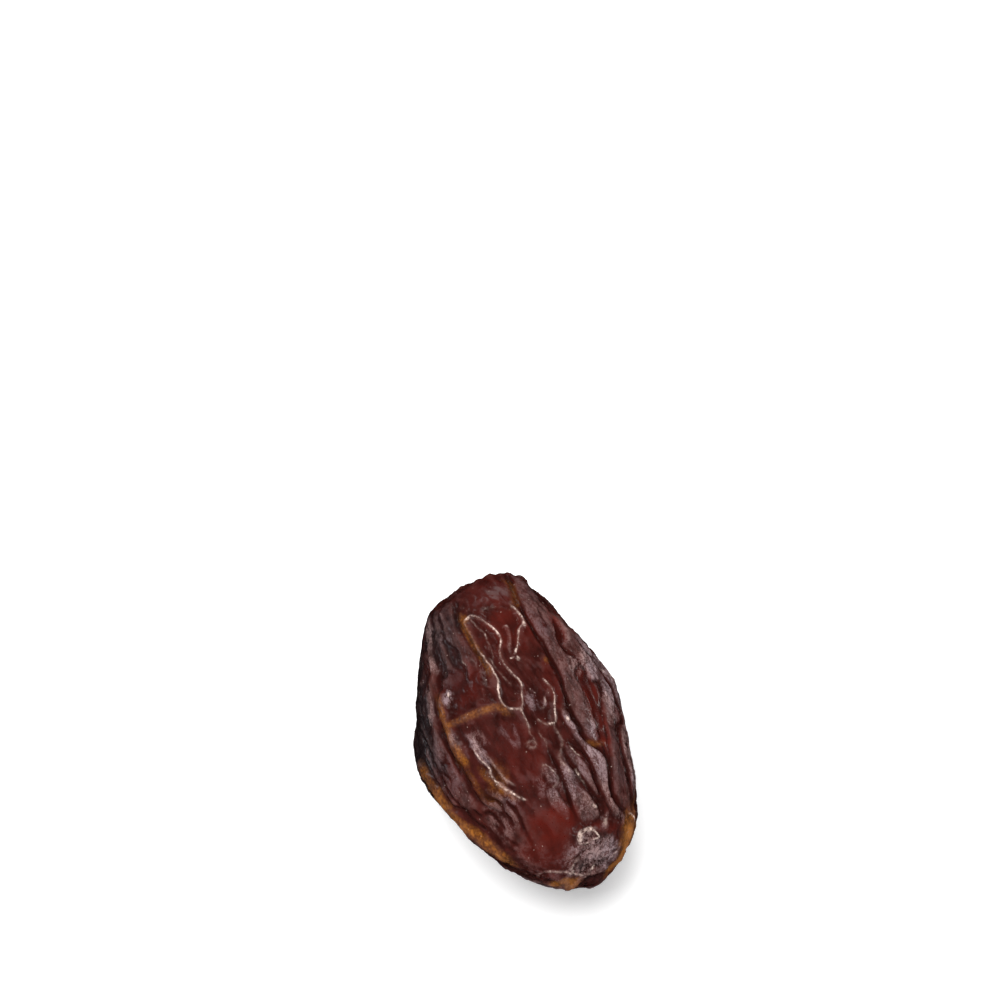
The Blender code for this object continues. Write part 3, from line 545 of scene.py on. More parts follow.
PATCHES = {
    Paint.RED: patches(
        (1.0, 18.0, -3, 1.9, 3.2), (1.0, 17.6, -4, 1.2, 1.8), (0.75, 20.6, -18, 2.2, 3.8),
        (0.6, -8.5, 4, 3.6, 3.6), (0.4, 9.5, -12, 4.6, 3.0), (0.75, -16.5, 5, 4.0, 4.2),
        (0.5, -3.0, -33, 3.4, 2.4), (0.4, 0.5, 20, 4.0, 1.0), (0.7, 18.8, 44, 0.8, 2.6)),
    # Bloom of sugar with painted sheen: on the flat of the point and on the plates that face the light, the
    # grey cover stands in for reflected light
    Paint.BLOOM: patches(
        (1.0, 7.4, 38.5, 1.5, 1.0), (0.75, -1.5, 38, 2.0, 1.3), (0.5, -7.0, 36, 2.2, 1.2),
        (1.0, 2.4, 59, 3.4, 1.6), (0.8, -2.0, 47, 2.6, 1.4), (0.18, 20.8, -34, 2.0, 2.2),
        (0.8, 18.6, 42, 0.8, 0.8), (1.0, 21.4, 36, 1.4, 4.4), (0.9, 22.2, 22, 0.7, 2.2),
        (0.9, 20.8, 48, 1.0, 2.8), (0.9, 20.0, 28, 0.5, 1.0), (0.55, 2.6, 4, 1.7, 0.9),
        (0.38, 13.6, 2, 2.0, 2.4), (0.45, 13.2, 14, 2.2, 1.5), (0.34, 15.0, -38, 3.4, 2.4, -20),
        (0.35, 5.6, -36, 2.6, 1.6), (0.9, -2.5, -48, 1.2, 0.7), (0.6, 3.8, -49.5, 1.0, 0.7),
        (0.25, -13.0, -45, 3.0, 1.3), (0.5, -5.0, 55, 3.2, 1.6)),
    # Darker skin with painted shade: mostly on the flanks that face away from the light, also on the stem end
    # and in pits at the point
    Paint.DARK_AND_SHADE: patches(
        (1.0, -4.0, -80, 13.0, 4.4), (0.7, -12.0, -43, 5.5, 3.6), (0.45, -5.5, -41, 4.0, 2.2),
        (0.5, 1.0, -65, 6.0, 1.8), (0.30, -17.0, 4, 4.0, 5.5), (0.6, 5.0, 96, 9.0, 3.6),
        (0.6, -14.0, -60, 4.5, 2.6), (0.5, 22.3, 31, 0.45, 0.6), (0.5, 22.0, 60, 0.4, 0.5)),
    # Painted glints: small bright spots of light on the amber rims, and a faint glow along the left rim
    Paint.GLOW: patches(
        (0.9, 22.0, -108, 0.45, 0.45), (0.8, 12.2, -73, 0.30, 0.22), (0.7, 13.6, -69, 0.35, 0.20),
        (0.7, 17.0, -60, 0.30, 0.20), (0.7, 18.8, -58, 0.35, 0.18), (0.5, 15.0, -65, 0.5, 0.20),
        (0.30, 9.0, -76, 1.8, 0.5, 8)),
    Paint.AMBER: patches(
        (0.35, 11.5, -33, 2.8, 1.4, -20), (0.7, 5.6, -51, 1.8, 0.7), (0.6, -12.0, -23, 1.0, 0.6),
        (0.6, -3.0, 20.5, 0.4, 0.4), (0.6, 2.8, -15, 0.7, 0.5), (0.6, -3.0, 175, 9.0, 2.4, 8)),
    # Pale spots, painted glints, such as the bright blob at the left of the ring over the point
    Paint.WIRE: patches(
        (0.50, 20.0, 16.6, 0.58, 0.34), (0.35, 19.35, 27, 0.22, 0.9), (0.45, 5.8, 22.6, 0.26, 0.22),
        (0.5, -3.8, 3, 0.32, 0.25), (0.5, -4.0, -1, 0.15, 0.18), (0.45, -8.7, 13.8, 0.35, 0.22),
        (0.55, -11.9, -20.5, 0.18, 0.35), (0.6, -0.4, -13.8, 0.45, 0.16), (0.40, 17.1, 29.5, 0.16, 0.45),
        (0.5, 22.4, 56, 0.14, 0.18), (0.45, -3.0, -47.5, 0.30, 0.16), (0.22, 18.6, 42, 0.40, 0.30)),
}


@dataclass(frozen=True)
class SkinTones:
    """The skin's colours (linear), some of which paint light and shade, its gloss, and the depth of its grain
    in millimetres.
    """

    mahogany: tuple = (0.053, 0.0080, 0.0058)
    # A darker red for the mottled skin, also laid as painted shade in the hollows
    valley: tuple = (0.022, 0.0032, 0.0022)
    red: tuple = (0.080, 0.0066, 0.0034)
    # A near-black for the painted shade in creases and under the edges of plates
    line: tuple = (0.0100, 0.0028, 0.0022)
    # A cool near-black: the skin's darker tone together with painted shade
    dark_and_shade: tuple = (0.0085, 0.0060, 0.0066)
    amber: tuple = (0.090, 0.025, 0.0036)
    honey: tuple = (0.200, 0.065, 0.0070)
    # A bright orange for painted glow through the flesh and painted glints
    glow: tuple = (0.360, 0.125, 0.0180)
    # The bloom's grey-mauve tones, which also paint the sheen of reflected light
    violet: tuple = (0.325, 0.235, 0.250)
    rose: tuple = (0.310, 0.195, 0.185)
    crest: tuple = (0.180, 0.075, 0.060)
    # A near-white for the pale crests with their painted highlights, the painted glints and the pale specks
    wire: tuple = (0.850, 0.650, 0.560)
    scar: tuple = (0.150, 0.072, 0.034)
    pit: tuple = (0.030, 0.012, 0.007)
    roughness: float = 0.34
    bloom_roughness: float = 0.14
    red_roughness: float = -0.05
    grain_roughness: float = 0.12
    scar_roughness: float = 0.25
    coat: float = 0.36
    coat_roughness: float = 0.10
    ior: float = 1.45
    bump: float = 0.045


@dataclass(frozen=True)
class Speckle:
    """Soft noise in a finish: the size of its grains in millimetres, its detail and its roughness."""

    size: float
    detail: float = 1.0
    rough: float = 0.5


@dataclass(frozen=True)
class Broken:
    """How a cover is broken up: its plain share, and what mottling and grain add to that."""

    plain: float
    mottling: float = 0.0
    grain: float = 0.0


@dataclass(frozen=True)
class SkinPattern:
    """How the skin's colours and sugar are broken up.

    An edge says where a smooth step begins and ends. The sugar and the bloom's height each have a share that
    holds everywhere and a share that is added. The hollow and raised pairs are parts of the narrow relief
    and of the broad one.
    """

    drawn: tuple = (0.45, 1.0, 1.0)
    cloud: Speckle = Speckle(5.0, 2.0)
    cloud_edge: tuple = (0.40, 0.60)
    haze: Speckle = Speckle(2.2, 3.0, 0.6)
    haze_edge: tuple = (0.46, 0.66)
    mottle: Speckle = Speckle(1.3, 4.0, 0.6)
    grain: Speckle = Speckle(0.30, 3.0, 0.6)
    speckle: Speckle = Speckle(0.15)
    fine: Speckle = Speckle(0.16, 2.0, 0.6)
    crack: Speckle = Speckle(0.75, 2.0, 0.6)
    crack_edge: tuple = (0.0, 0.055)
    speck: Speckle = Speckle(0.35, 1.0, 0.4)
    speck_edge: tuple = (0.755, 0.81)
    speck_share: float = 0.28
    bead: Speckle = Speckle(0.36)
    bead_edge: tuple = (0.36, 0.58)
    mahogany_edge: tuple = (0.30, 0.65)
    honey_edge: tuple = (0.62, 0.95)
    honey_mottle: float = 0.5
    wood_edge: tuple = (0.70, 1.05)
    wood_mottle: float = 0.8
    frost_parts: tuple = (0.50, 0.25, 0.25)
    frost_edge: tuple = (0.41, 0.59)
    # The hollow share, read from the sunken relief, darkens the skin with painted shade
    hollow: tuple = (-0.9, -0.4)
    raised: tuple = (0.9, 0.5)
    red: Broken = Broken(0.3, 1.2)
    amber: Broken = Broken(-0.75, 2.6, 0.8)
    glow: Broken = Broken(0.4, 0.0, 1.1)
    crest: Broken = Broken(0.01, 0.0, 0.24)
    line: Broken = Broken(0.45, 0.9)
    hollow_shade_share: float = 0.8
    dark_and_shade_share: float = 0.9
    scar_share: float = 0.9
    pale_and_glint_share: float = 0.32
    sugar: tuple = (0.16, 0.88)
    sugar_on_raised: tuple = (0.75, 0.45)
    sugar_off_cracks: float = 0.85
    sugar_off_red: float = 0.5
    sugar_off_amber: float = 0.6
    sugar_off_hollow: float = 0.35
    haze_share: float = 0.045
    fine_height: float = 0.5
    bloom_height: tuple = (0.6, 0.9)
    red_height: float = 0.6
    crack_height: float = 0.5


@dataclass(frozen=True)
class FloorFinish:
    """A plain white matt board, faintly lit from below."""

    colour: tuple = (0.90, 0.90, 0.90)
    roughness: float = 0.85
    glow: float = 0.28


class Socket:
    """A value in a shader that Python's operators work on."""

    def __init__(self, graph: "Graph", output: bpy.types.NodeSocket) -> None:
        """Wrap one output of a node in a graph."""
        self.graph = graph
        self.output = output

    def __add__(self, other: "Value") -> "Socket":
        """Return this value plus another."""
        return self.graph.math("ADD", self, other)

    def __sub__(self, other: "Value") -> "Socket":
        """Return this value less another."""
        return self.graph.math("SUBTRACT", self, other)

    def __rsub__(self, other: float) -> "Socket":
        """Return a number less this value."""
        return self.graph.math("SUBTRACT", other, self)

    def __mul__(self, other: "Value") -> "Socket":
        """Return this value times another."""
        return self.graph.math("MULTIPLY", self, other)

    __radd__ = __add__
    __rmul__ = __mul__


Value = Union[Socket, float]


class Graph:
    """The nodes of one material, laid out by expressions."""

    def __init__(self, name: str) -> None:
        """Make a material that holds nothing but its output."""
        self.material = bpy.data.materials.new(name)
        self.material.use_nodes = True
        self.tree = self.material.node_tree
        self.tree.nodes.clear()

    def node(self, kind: str, settings: dict[str, Any], inputs: dict[Any, Any],
             output: Union[str, int] = 0) -> Socket:
        """Add a node.

        Args:
            kind: The node's type.
            settings: Its properties, such as a Math node's operation, which are set first.
            inputs: A number, a tuple or a Socket for each input that is set, by name or index.
            output: The output that is wanted.

        Returns:
            The wanted output, wrapped.
        """
        added = self.tree.nodes.new(kind)
        for key, value in settings.items():
            setattr(added, key, value)
        for key, value in inputs.items():
            if isinstance(value, Socket):
                self.tree.links.new(value.output, added.inputs[key])
            else:
                added.inputs[key].default_value = value
        return Socket(self, added.outputs[output]) if added.outputs else Socket(self, None)

    def math(self, operation: str, first: Value, second: Value = 0.0, clamped: bool = False) -> Socket:
        """Return a Math node's result."""
        return self.node("ShaderNodeMath", {"operation": operation, "use_clamp": clamped},
                         {0: first, 1: second})

    def clamp(self, value: Socket) -> Socket:
        """Return the value held between 0 and 1."""
        return self.math("ADD", value, 0.0, True)

    def step(self, value: Socket, low: float, high: float) -> Socket:
        """Return 0 below low, 1 above high and a smooth rise between them."""
        return self.node("ShaderNodeMapRange", {"interpolation_type": "SMOOTHSTEP"},
                         {"Value": value, "From Min": low, "From Max": high})

    def mix(self, share: Value, first: Any, second: Any) -> Socket:
        """Return a colour that goes from first to second as the share goes from 0 to 1."""
        mixed = {MIX_FIRST: as_colour(first), MIX_SECOND: as_colour(second), MIX_SHARE: share}
        return self.node("ShaderNodeMix", {"data_type": "RGBA"}, mixed, MIX_RESULT)

    def paint(self, paint: Paint) -> Socket:
        """Return what the mesh says of one paint."""
        return self.node("ShaderNodeAttribute", {"attribute_name": paint.value}, {}, "Fac")

    def noise(self, place: Socket, speckle: Speckle) -> Socket:
        """Return the soft noise of a speckle, whose size is in the units of place."""
        return self.node("ShaderNodeTexNoise", {}, {
            "Vector": place, "Scale": 1.0 / speckle.size, "Detail": speckle.detail,
            "Roughness": speckle.rough}, "Fac")

    def finish(self, shader: Socket) -> bpy.types.Material:
        """Link the shader to the material's output and return the material."""
        self.node("ShaderNodeOutputMaterial", {}, {"Surface": shader})
        return self.material


class SkinGraph(Graph):
    """The date's own material: its colours laid one over another, its gloss and its finest relief."""

    def __init__(self, tones: SkinTones, pattern: SkinPattern) -> None:
        """Read the paints, and spread the noises that several layers share."""
        super().__init__("date_skin")
        self.tones = tones
        self.pattern = pattern
        position = self.node("ShaderNodeTexCoord", {}, {}, "Object")
        self.place = self.node("ShaderNodeVectorMath", {"operation": "SCALE"},
                               {0: position, "Scale": 1.0 / MM})
        self.drawn = self.node("ShaderNodeVectorMath", {"operation": "MULTIPLY"},
                               {0: self.place, 1: pattern.drawn})
        self.shares = {paint: self.paint(paint) for paint in Paint}
        self.mottle = self.noise(self.drawn, pattern.mottle)
        self.grain = self.noise(self.place, pattern.grain)
        veins = self.math("ABSOLUTE", self.noise(self.drawn, pattern.crack) - NOISE_MIDDLE)
        self.cracks = 1.0 - self.step(veins, *pattern.crack_edge)
        self.hollow = self.relief(pattern.hollow)
        self.raised = self.relief(pattern.raised)

    def relief(self, parts: tuple) -> Socket:
        """Return a sum of parts of the narrow relief and the broad one, held between 0 and 1."""
        narrow, broad = parts
        return self.clamp(narrow * self.shares[Paint.RELIEF] + broad * self.shares[Paint.BASIN])

    def broken(self, cover: Socket, broken: Broken) -> Socket:
        """Return a cover broken up by the mottling and the grain."""
        return self.clamp(cover * (broken.plain + broken.mottling * self.mottle + broken.grain * self.grain))

    def bloom_and_sheen(self) -> Socket:
        """Return how far the bloom of sugar, with the sheen painted into it, hides the skin."""
        pattern, shares = self.pattern, self.shares
        broad, fine, finest = pattern.frost_parts
        speckle = self.noise(self.place, pattern.speckle)
        frost = self.step(broad * self.mottle + fine * self.grain + finest * speckle, *pattern.frost_edge)
        haze = self.step(self.noise(self.place, pattern.haze), *pattern.haze_edge)
        least, more = pattern.sugar
        flat, high = pattern.sugar_on_raised
        cover = shares[Paint.BLOOM] * (least + more * frost) * (flat + high * self.raised)
        cover = cover * (1.0 - pattern.sugar_off_cracks * self.cracks) + pattern.haze_share * haze
        cover = cover * (1.0 - pattern.sugar_off_red * shares[Paint.RED])
        cover = cover * (1.0 - pattern.sugar_off_amber * shares[Paint.AMBER])
        return self.clamp(cover - pattern.sugar_off_hollow * self.hollow)

    def colour(self, bloom_and_sheen: Socket) -> Socket:
        """Lay the skin's colours one over another.

        Args:
            bloom_and_sheen: How far the bloom of sugar, with its painted sheen, hides the skin.

        Returns:
            The skin's colour, from the painted shade in its hollows up to the pale specks of sugar and
            painted glints.
        """
        tones, pattern, shares = self.tones, self.pattern, self.shares
        honey = self.step(self.grain + pattern.honey_mottle * self.mottle, *pattern.honey_edge)
        wood = self.step(self.grain + pattern.wood_mottle * self.mottle, *pattern.wood_edge)
        cloud = self.step(self.noise(self.place, pattern.cloud), *pattern.cloud_edge)
        beads = self.step(self.noise(self.place, pattern.bead), *pattern.bead_edge)
        specks = self.step(self.noise(self.place, pattern.speck), *pattern.speck_edge)
        layers = (
            (self.broken(shares[Paint.RED], pattern.red), tones.red),
            # Painted shade: the hollows of the relief are darkened
            (self.hollow * pattern.hollow_shade_share, tones.valley),
            # Painted shade over the skin's darker tone, mostly on the flanks
            (shares[Paint.DARK_AND_SHADE] * pattern.dark_and_shade_share, tones.dark_and_shade),
            (self.broken(shares[Paint.AMBER], pattern.amber), self.mix(honey, tones.amber, tones.honey)),
            # Painted glow and glints on the amber rims
            (self.broken(shares[Paint.GLOW], pattern.glow), tones.glow),
            # The bloom of sugar, with painted sheen
            (bloom_and_sheen, self.mix(cloud, tones.violet, tones.rose)),
            (self.broken(self.raised, pattern.crest), tones.crest),
            # Painted shade along the creases and the edges of the plates
            (self.broken(shares[Paint.CREASE], pattern.line), tones.line),
            (shares[Paint.SCAR] * pattern.scar_share, self.mix(wood, tones.pit, tones.scar)),
            # Pale crests of the wires with painted highlights, beaded, and painted glints
            (self.clamp(shares[Paint.WIRE] * (pattern.pale_and_glint_share + beads)), tones.wire),
            # Pale specks: sugar crystals and painted glints
            (specks * pattern.speck_share, tones.wire),
        )
        colour = self.mix(self.step(self.mottle, *pattern.mahogany_edge), tones.valley, tones.mahogany)
        for cover, over in layers:
            colour = self.mix(cover, colour, over)
        return colour

    def roughness(self, bloom_and_sheen: Socket) -> Socket:
        """Return the skin's roughness: more under the bloom of sugar and on the scar, less where it is red.
        """
        tones = self.tones
        covered = tones.roughness + tones.bloom_roughness * bloom_and_sheen
        covered = covered + tones.red_roughness * self.shares[Paint.RED]
        uneven = tones.grain_roughness * (self.grain - NOISE_MIDDLE)
        return self.clamp(covered + uneven + tones.scar_roughness * self.shares[Paint.SCAR])

    def bumps(self) -> Socket:
        """Return the normal that shows the finest grain, and the cracks in the bloom."""
        pattern, bloom = self.pattern, self.shares[Paint.BLOOM]
        plain, bloomed = pattern.bloom_height
        height = self.grain + pattern.fine_height * self.noise(self.drawn, pattern.fine)
        height = height * (plain + bloomed * bloom) * (1.0 - pattern.red_height * self.shares[Paint.RED])
        height = height - pattern.crack_height * self.cracks * bloom
        return self.node("ShaderNodeBump", {}, {"Strength": 1.0, "Distance": self.tones.bump * MM,
                                                "Height": height})

    def dress(self) -> bpy.types.Material:
        """Join the colour, the gloss and the relief in one shader, and return the material."""
        tones, bloom_and_sheen = self.tones, self.bloom_and_sheen()
        shader = self.node("ShaderNodeBsdfPrincipled", {}, {
            "Base Color": self.colour(bloom_and_sheen), "Roughness": self.roughness(bloom_and_sheen), "Normal": self.bumps(),
            "IOR": tones.ior, "Coat Weight": tones.coat, "Coat Roughness": tones.coat_roughness})
        return self.finish(shader)


def as_colour(value: Any) -> Any:
    """Return a colour of three numbers with its fourth, and anything else as it is."""
    return (*value, 1.0) if isinstance(value, tuple) else value


def rounded_step(low: float, high: float, value: np.ndarray) -> np.ndarray:
    """Return 0 below low, 1 above high, and an S-shaped rise between them."""
    part = np.clip((value - low) / (high - low), 0.0, 1.0)
    return part * part * (3.0 - 2.0 * part)


def heading(lean: Any, bearing: Any) -> np.ndarray:
    """Return unit vectors that lean from the cross-section towards the pointed end, at a bearing."""
    tilt, turn = np.radians(lean), np.radians(bearing)
    across = np.cos(tilt)
    return np.stack([np.sin(tilt) + 0.0 * turn, across * np.sin(turn), across * np.cos(turn)], axis=-1)


def joined(first: np.ndarray, second: np.ndarray) -> np.ndarray:
    """Return the share that two covers hide together, one laid over the other."""
    return 1 - (1 - first) * (1 - second)


def at_least(least: float, share: np.ndarray) -> np.ndarray:
    """Return a number that rises from least to 1 as a share goes from 0 to 1."""
    return least + (1 - least) * share


def read_points(mesh: bpy.types.Mesh) -> np.ndarray:
    """Return a mesh's points, a row each."""
    flat = np.empty(len(mesh.vertices) * 3, dtype=np.float32)
    mesh.vertices.foreach_get("co", flat)
    return flat.reshape(-1, 3).astype(float)


def read_paint(mesh: bpy.types.Mesh, paint: Paint) -> np.ndarray:
    """Return one paint's share at each of a mesh's points."""
    share = np.empty(len(mesh.vertices), dtype=np.float32)
    mesh.attributes[paint.value].data.foreach_get("value", share)
    return share


def unrolled(point: np.ndarray, middle: float) -> tuple[np.ndarray, np.ndarray]:
    """Return how far points are along the date, and how far round it from a middle bearing."""
    bearing = np.degrees(np.arctan2(point[:, 1], point[:, 2]))
    turn = np.radians((bearing - middle + 180) % 360 - 180)
    return point[:, 0], turn * np.hypot(point[:, 1], point[:, 2])


@dataclass(frozen=True)
class Noise:
    """Smooth noise stretched along the date: its size along and across, where it is read, its height."""

    length: float
    width: float
    shift: float
    height: float = 1.0

    def at(self, point: np.ndarray) -> np.ndarray:
        """Return its value at points, from about -1 to 1."""
        scaled = point / np.array([self.length, self.width, self.width]) + self.shift
        return np.array([noise.noise(row) for row in scaled.tolist()])

    def relief(self, point: np.ndarray) -> np.ndarray:
        """Return its value at points, times its height."""
        return self.height * self.at(point)

    def hairs(self, point: np.ndarray, width: float) -> np.ndarray:
        """Return thin lines of its height, which run where its value is 0."""
        return self.height * np.exp(-np.abs(self.at(point)) / width)


@dataclass(frozen=True)
class Nearness:
    """How points lie to a route: which are near, their gap, side, distance to its ends, and strength."""

    near: np.ndarray
    gap: np.ndarray
    left: np.ndarray
    ends: np.ndarray
    strength: np.ndarray


@dataclass(frozen=True)
class DateBody:
    """The egg-like body of the fruit under its folds, with the flats that are pressed into it."""

    half_length: float = 26.4
    half_breadth: float = 14.2
    rise: float = 12.2
    drop: float = 11.9
    centre: tuple = (0.08, 0.60, 11.0)
    pressed: tuple = PRESSED
    edge: float = 18.0
    route_step: float = 0.45
    steepest: float = 89.9
    search_steps: int = 36
    nudge: float = 0.01
    tiny: float = 1e-9

    def gauge(self, way: np.ndarray) -> np.ndarray:
        """Return how many times each vector from the centre reaches past the body's surface."""
        drop = np.where(way[:, 2] > 0, self.rise, self.drop)
        ring = (way[:, 1] / self.half_breadth) ** 2 + (way[:, 2] / drop) ** 2
        total = ((way[:, 0] / self.half_length) ** 2 + ring) ** (self.edge / 2)
        for flat in self.pressed:
            reach = way @ heading(flat.lean, flat.bearing) / flat.distance
            total += np.maximum(reach, 0.0) ** self.edge
        return total ** (1 / self.edge)

    def point(self, way: np.ndarray) -> np.ndarray:
        """Return the points, from the centre, where vectors leave the body."""
        return way / self.gauge(way)[:, None]

    def normal(self, point: np.ndarray) -> np.ndarray:
        """Return the outward unit normals at points of the body."""
        nudges = self.nudge * np.eye(3)
        slope = np.stack([self.gauge(point + nudge) - self.gauge(point - nudge) for nudge in nudges], axis=1)
        return slope / np.linalg.norm(slope, axis=1)[:, None]

    def place(self, station: Any, bearing: Any) -> np.ndarray:
        """Return the points of the body at stations and bearings, found by halving the lean."""
        station, bearing = np.atleast_1d(station).astype(float), np.atleast_1d(bearing).astype(float)
        low, high = np.full(len(station), -self.steepest), np.full(len(station), self.steepest)
        for _ in range(self.search_steps):
            middle = (low + high) / 2
            short = self.point(heading(middle, bearing))[:, 0] < station
            low, high = np.where(short, middle, low), np.where(short, high, middle)
        return self.point(heading((low + high) / 2, bearing))

    def route(self, corners: tuple) -> tuple[np.ndarray, np.ndarray]:
        """Lead a smooth curve, a Catmull-Rom spline, over the body through a route's corners.

        Args:
            corners: Stations and bearings, each with a strength, or else a strength of 1 is taken.

        Returns:
            The curve's points on the body, and the strength at each.
        """
        stops = np.array([(*corner, 1.0)[:3] for corner in corners], dtype=float)
        ends = np.vstack([2 * stops[0] - stops[1], stops, 2 * stops[-1] - stops[-2]])
        spans = []
        for before, start, end, after in zip(ends, ends[1:], ends[2:], ends[3:]):
            width = math.hypot(end[0] - start[0], math.radians(end[1] - start[1]) * self.half_breadth)
            steps = np.linspace(0, 1, max(2, int(width / self.route_step)), endpoint=False)[:, None]
            bend = 2 * before - 5 * start + 4 * end - after
            turn = 3 * start - 3 * end + after - before
            spans.append(start + 0.5 * steps * ((end - before) + steps * (bend + steps * turn)))
        line = np.vstack([*spans, stops[-1:]])
        return self.place(line[:, 0], line[:, 1]), line[:, 2]

    def nearness(self, corners: tuple, reach: float, point: np.ndarray,
                 normal: Optional[np.ndarray] = None) -> Nearness:
        """Measure how points lie to a route.

        Args:
            corners: The route's stations and bearings, and its strengths if it has them.
            reach: How far from the route a point may be to count as near.
            point: The points, from the centre.
            normal: The body's normals there, where the side matters.

        Returns:
            How each of the near points lies to the route.
        """
        route, strengths = self.route(corners)
        near = np.all((point > route.min(0) - reach) & (point < route.max(0) + reach), axis=1)
        place = point[near]
        upright = normal[near] if normal is not None else None
        runs = np.diff(route, axis=0)
        lengths = np.linalg.norm(runs, axis=1)
        before = np.concatenate([[0.0], np.cumsum(lengths)])
        gap = np.full(len(place), np.inf)
        along, side, strength = np.zeros(len(place)), np.zeros(len(place)), np.zeros(len(place))
        for index, run in enumerate(runs):
            offset = place - route[index]
            part = np.clip(offset @ run / lengths[index] ** 2, 0.0, 1.0)
            away = np.linalg.norm(offset - part[:, None] * run, axis=1)
            closer = away < gap
            gap = np.where(closer, away, gap)
            along = np.where(closer, before[index] + part * lengths[index], along)
            blend = strengths[index] * (1 - part) + strengths[index + 1] * part
            strength = np.where(closer, blend, strength)
            if upright is not None:
                turn = np.einsum("ij,ij->i", np.cross(offset, run), upright)
                side = np.where(closer, turn, side)
        return Nearness(near, gap, side > 0, np.minimum(along, before[-1] - along), strength)

    def depth(self, outline: tuple, reach: float, point: np.ndarray) -> tuple[np.ndarray, np.ndarray]:
        """Measure how deep points lie inside a closed outline, on the unrolled skin.

        Args:
            outline: The outline's stations and bearings.
            reach: How far outside the outline a point may be to count as near.
            point: The points, from the centre.

        Returns:
            Which points are near, and how deep each of those lies. Outside the outline this is below 0.
        """
        line, _ = self.route((*outline, outline[0]))
        middle = float(np.mean([bearing for _, bearing in outline]))
        near = np.all((point > line.min(0) - reach) & (point < line.max(0) + reach), axis=1)
        along, around = unrolled(point[near], middle)
        first_along, first_around = unrolled(line[:-1], middle)
        last_along, last_around = unrolled(line[1:], middle)
        gap, inside = np.full(len(along), np.inf), np.zeros(len(along), dtype=bool)
        for a, b, c, d in zip(first_along, first_around, last_along, last_around):
            run, turn = c - a, d - b
            square = max(run * run + turn * turn, self.tiny)
            part = np.clip(((along - a) * run + (around - b) * turn) / square, 0.0, 1.0)
            gap = np.minimum(gap, np.hypot(along - a - part * run, around - b - part * turn))
            if turn:
                inside ^= ((b > around) != (d > around)) & (along < a + run * (around - b) / turn)
        return near, np.where(inside, gap, -gap)


@dataclass(frozen=True)
class StemScar:
    """The shallow crater where the stem was, with its puckered rim."""

    lean: float = -80.0
    bearing: float = 25.0
    radius: float = 3.3
    depth: float = 1.3
    wall: float = 1.3
    rim_radius: float = 4.3
    rim_width: float = 0.9
    rim_height: float = 0.35
    rim_wander: Noise = Noise(2.5, 2.5, 5.9, 0.6)
    puckers: Noise = Noise(1.0, 1.0, 31.1)
    pucker_count: float = 4.6
    pucker_bend: float = 0.12
    pucker_height: float = 0.45
    pucker_end: float = 9.0
    fibres: Noise = Noise(0.8, 0.35, 51.3)
    fibre_height: float = 0.22
    wood_edge: tuple = (-1.5, 0.1)
    wood_ragged: tuple = (Noise(1.6, 1.6, 77.7, 0.9), Noise(0.6, 0.6, 87.7, 0.5))

    def offset(self, body: DateBody, point: np.ndarray) -> np.ndarray:
        """Return how points of the body lie from the crater's middle."""
        return point - body.point(heading(self.lean, self.bearing)[None, :])[0]

    def share(self, body: DateBody, point: np.ndarray) -> np.ndarray:
        """Return how woody the skin is at points of the body: 1 in the crater, with a ragged edge."""
        radius = np.linalg.norm(self.offset(body, point), axis=1)
        ragged = sum(torn.relief(point) for torn in self.wood_ragged)
        inner, outer = self.wood_edge
        return 1 - rounded_step(self.radius + inner, self.radius + outer, radius + ragged)

    def height(self, body: DateBody, point: np.ndarray) -> np.ndarray:
        """Return the height of the crater, its rim and the puckers round it at points of the body."""
        offset = self.offset(body, point)
        radius = np.linalg.norm(offset, axis=1)
        turn = np.arctan2(offset[:, 1], offset[:, 2])
        inside = 1 - rounded_step(self.radius - self.wall, self.radius, radius)
        fibres = self.fibre_height * inside * self.fibres.at(offset)
        rim = self.rim_height * (1 + self.rim_wander.relief(point))
        rim = rim * np.exp(-(((radius - self.rim_radius) / self.rim_width) ** 2))
        band = rounded_step(self.radius, self.rim_radius, radius)
        band = band * (1 - rounded_step(self.rim_radius, self.pucker_end, radius))
        spokes = np.stack([self.pucker_bend * radius, self.pucker_count * np.sin(turn),
                           self.pucker_count * np.cos(turn)], axis=1)
        return fibres - self.depth * inside + rim + self.pucker_height * band * self.puckers.at(spokes)


@dataclass(frozen=True)
class SideRelief:
    """The plates, creases and ripples of the flanks and the underside, where no fold is listed."""

    plates: Noise = Noise(9.5, 2.6, 3.7)
    plate_height: float = 0.30
    plate_edge: float = 3.2
    creases: Noise = Noise(7.6, 3.1, 11.3)
    crease_depth: float = 0.28
    crease_width: float = 0.11
    ripples: Noise = Noise(4.2, 1.3, 23.9, 0.10)
    ripple_on_top: float = 0.5
    start: float = 66.0
    full: float = 92.0
    painted: tuple = (92.0, 112.0)
    middle_y: float = -2.0
    bloom: float = 0.42
    bloom_edge: tuple = (0.0, 0.2)
    line: float = 0.28
    line_width: float = 0.035

    def marks(self, point: np.ndarray) -> tuple[np.ndarray, np.ndarray, np.ndarray]:
        """Return the relief's height at points of the body, its plates' bloom with painted sheen, and the
        darkness of its lines of painted shade.
        """
        bearing = np.abs(np.degrees(np.arctan2(point[:, 1] - self.middle_y, point[:, 2])))
        share = rounded_step(self.start, self.full, bearing)
        plate, crease = self.plates.at(point), self.creases.at(point)
        height = self.plate_height * np.tanh(self.plate_edge * plate)
        height -= self.crease_depth * np.exp(-np.abs(crease) / self.crease_width)
        height = share * height + np.maximum(share, self.ripple_on_top) * self.ripples.relief(point)
        painted = rounded_step(*self.painted, bearing)
        bloom = self.bloom * painted * rounded_step(*self.bloom_edge, plate)
        return height, bloom, self.line * painted * np.exp(-((crease / self.line_width) ** 2))


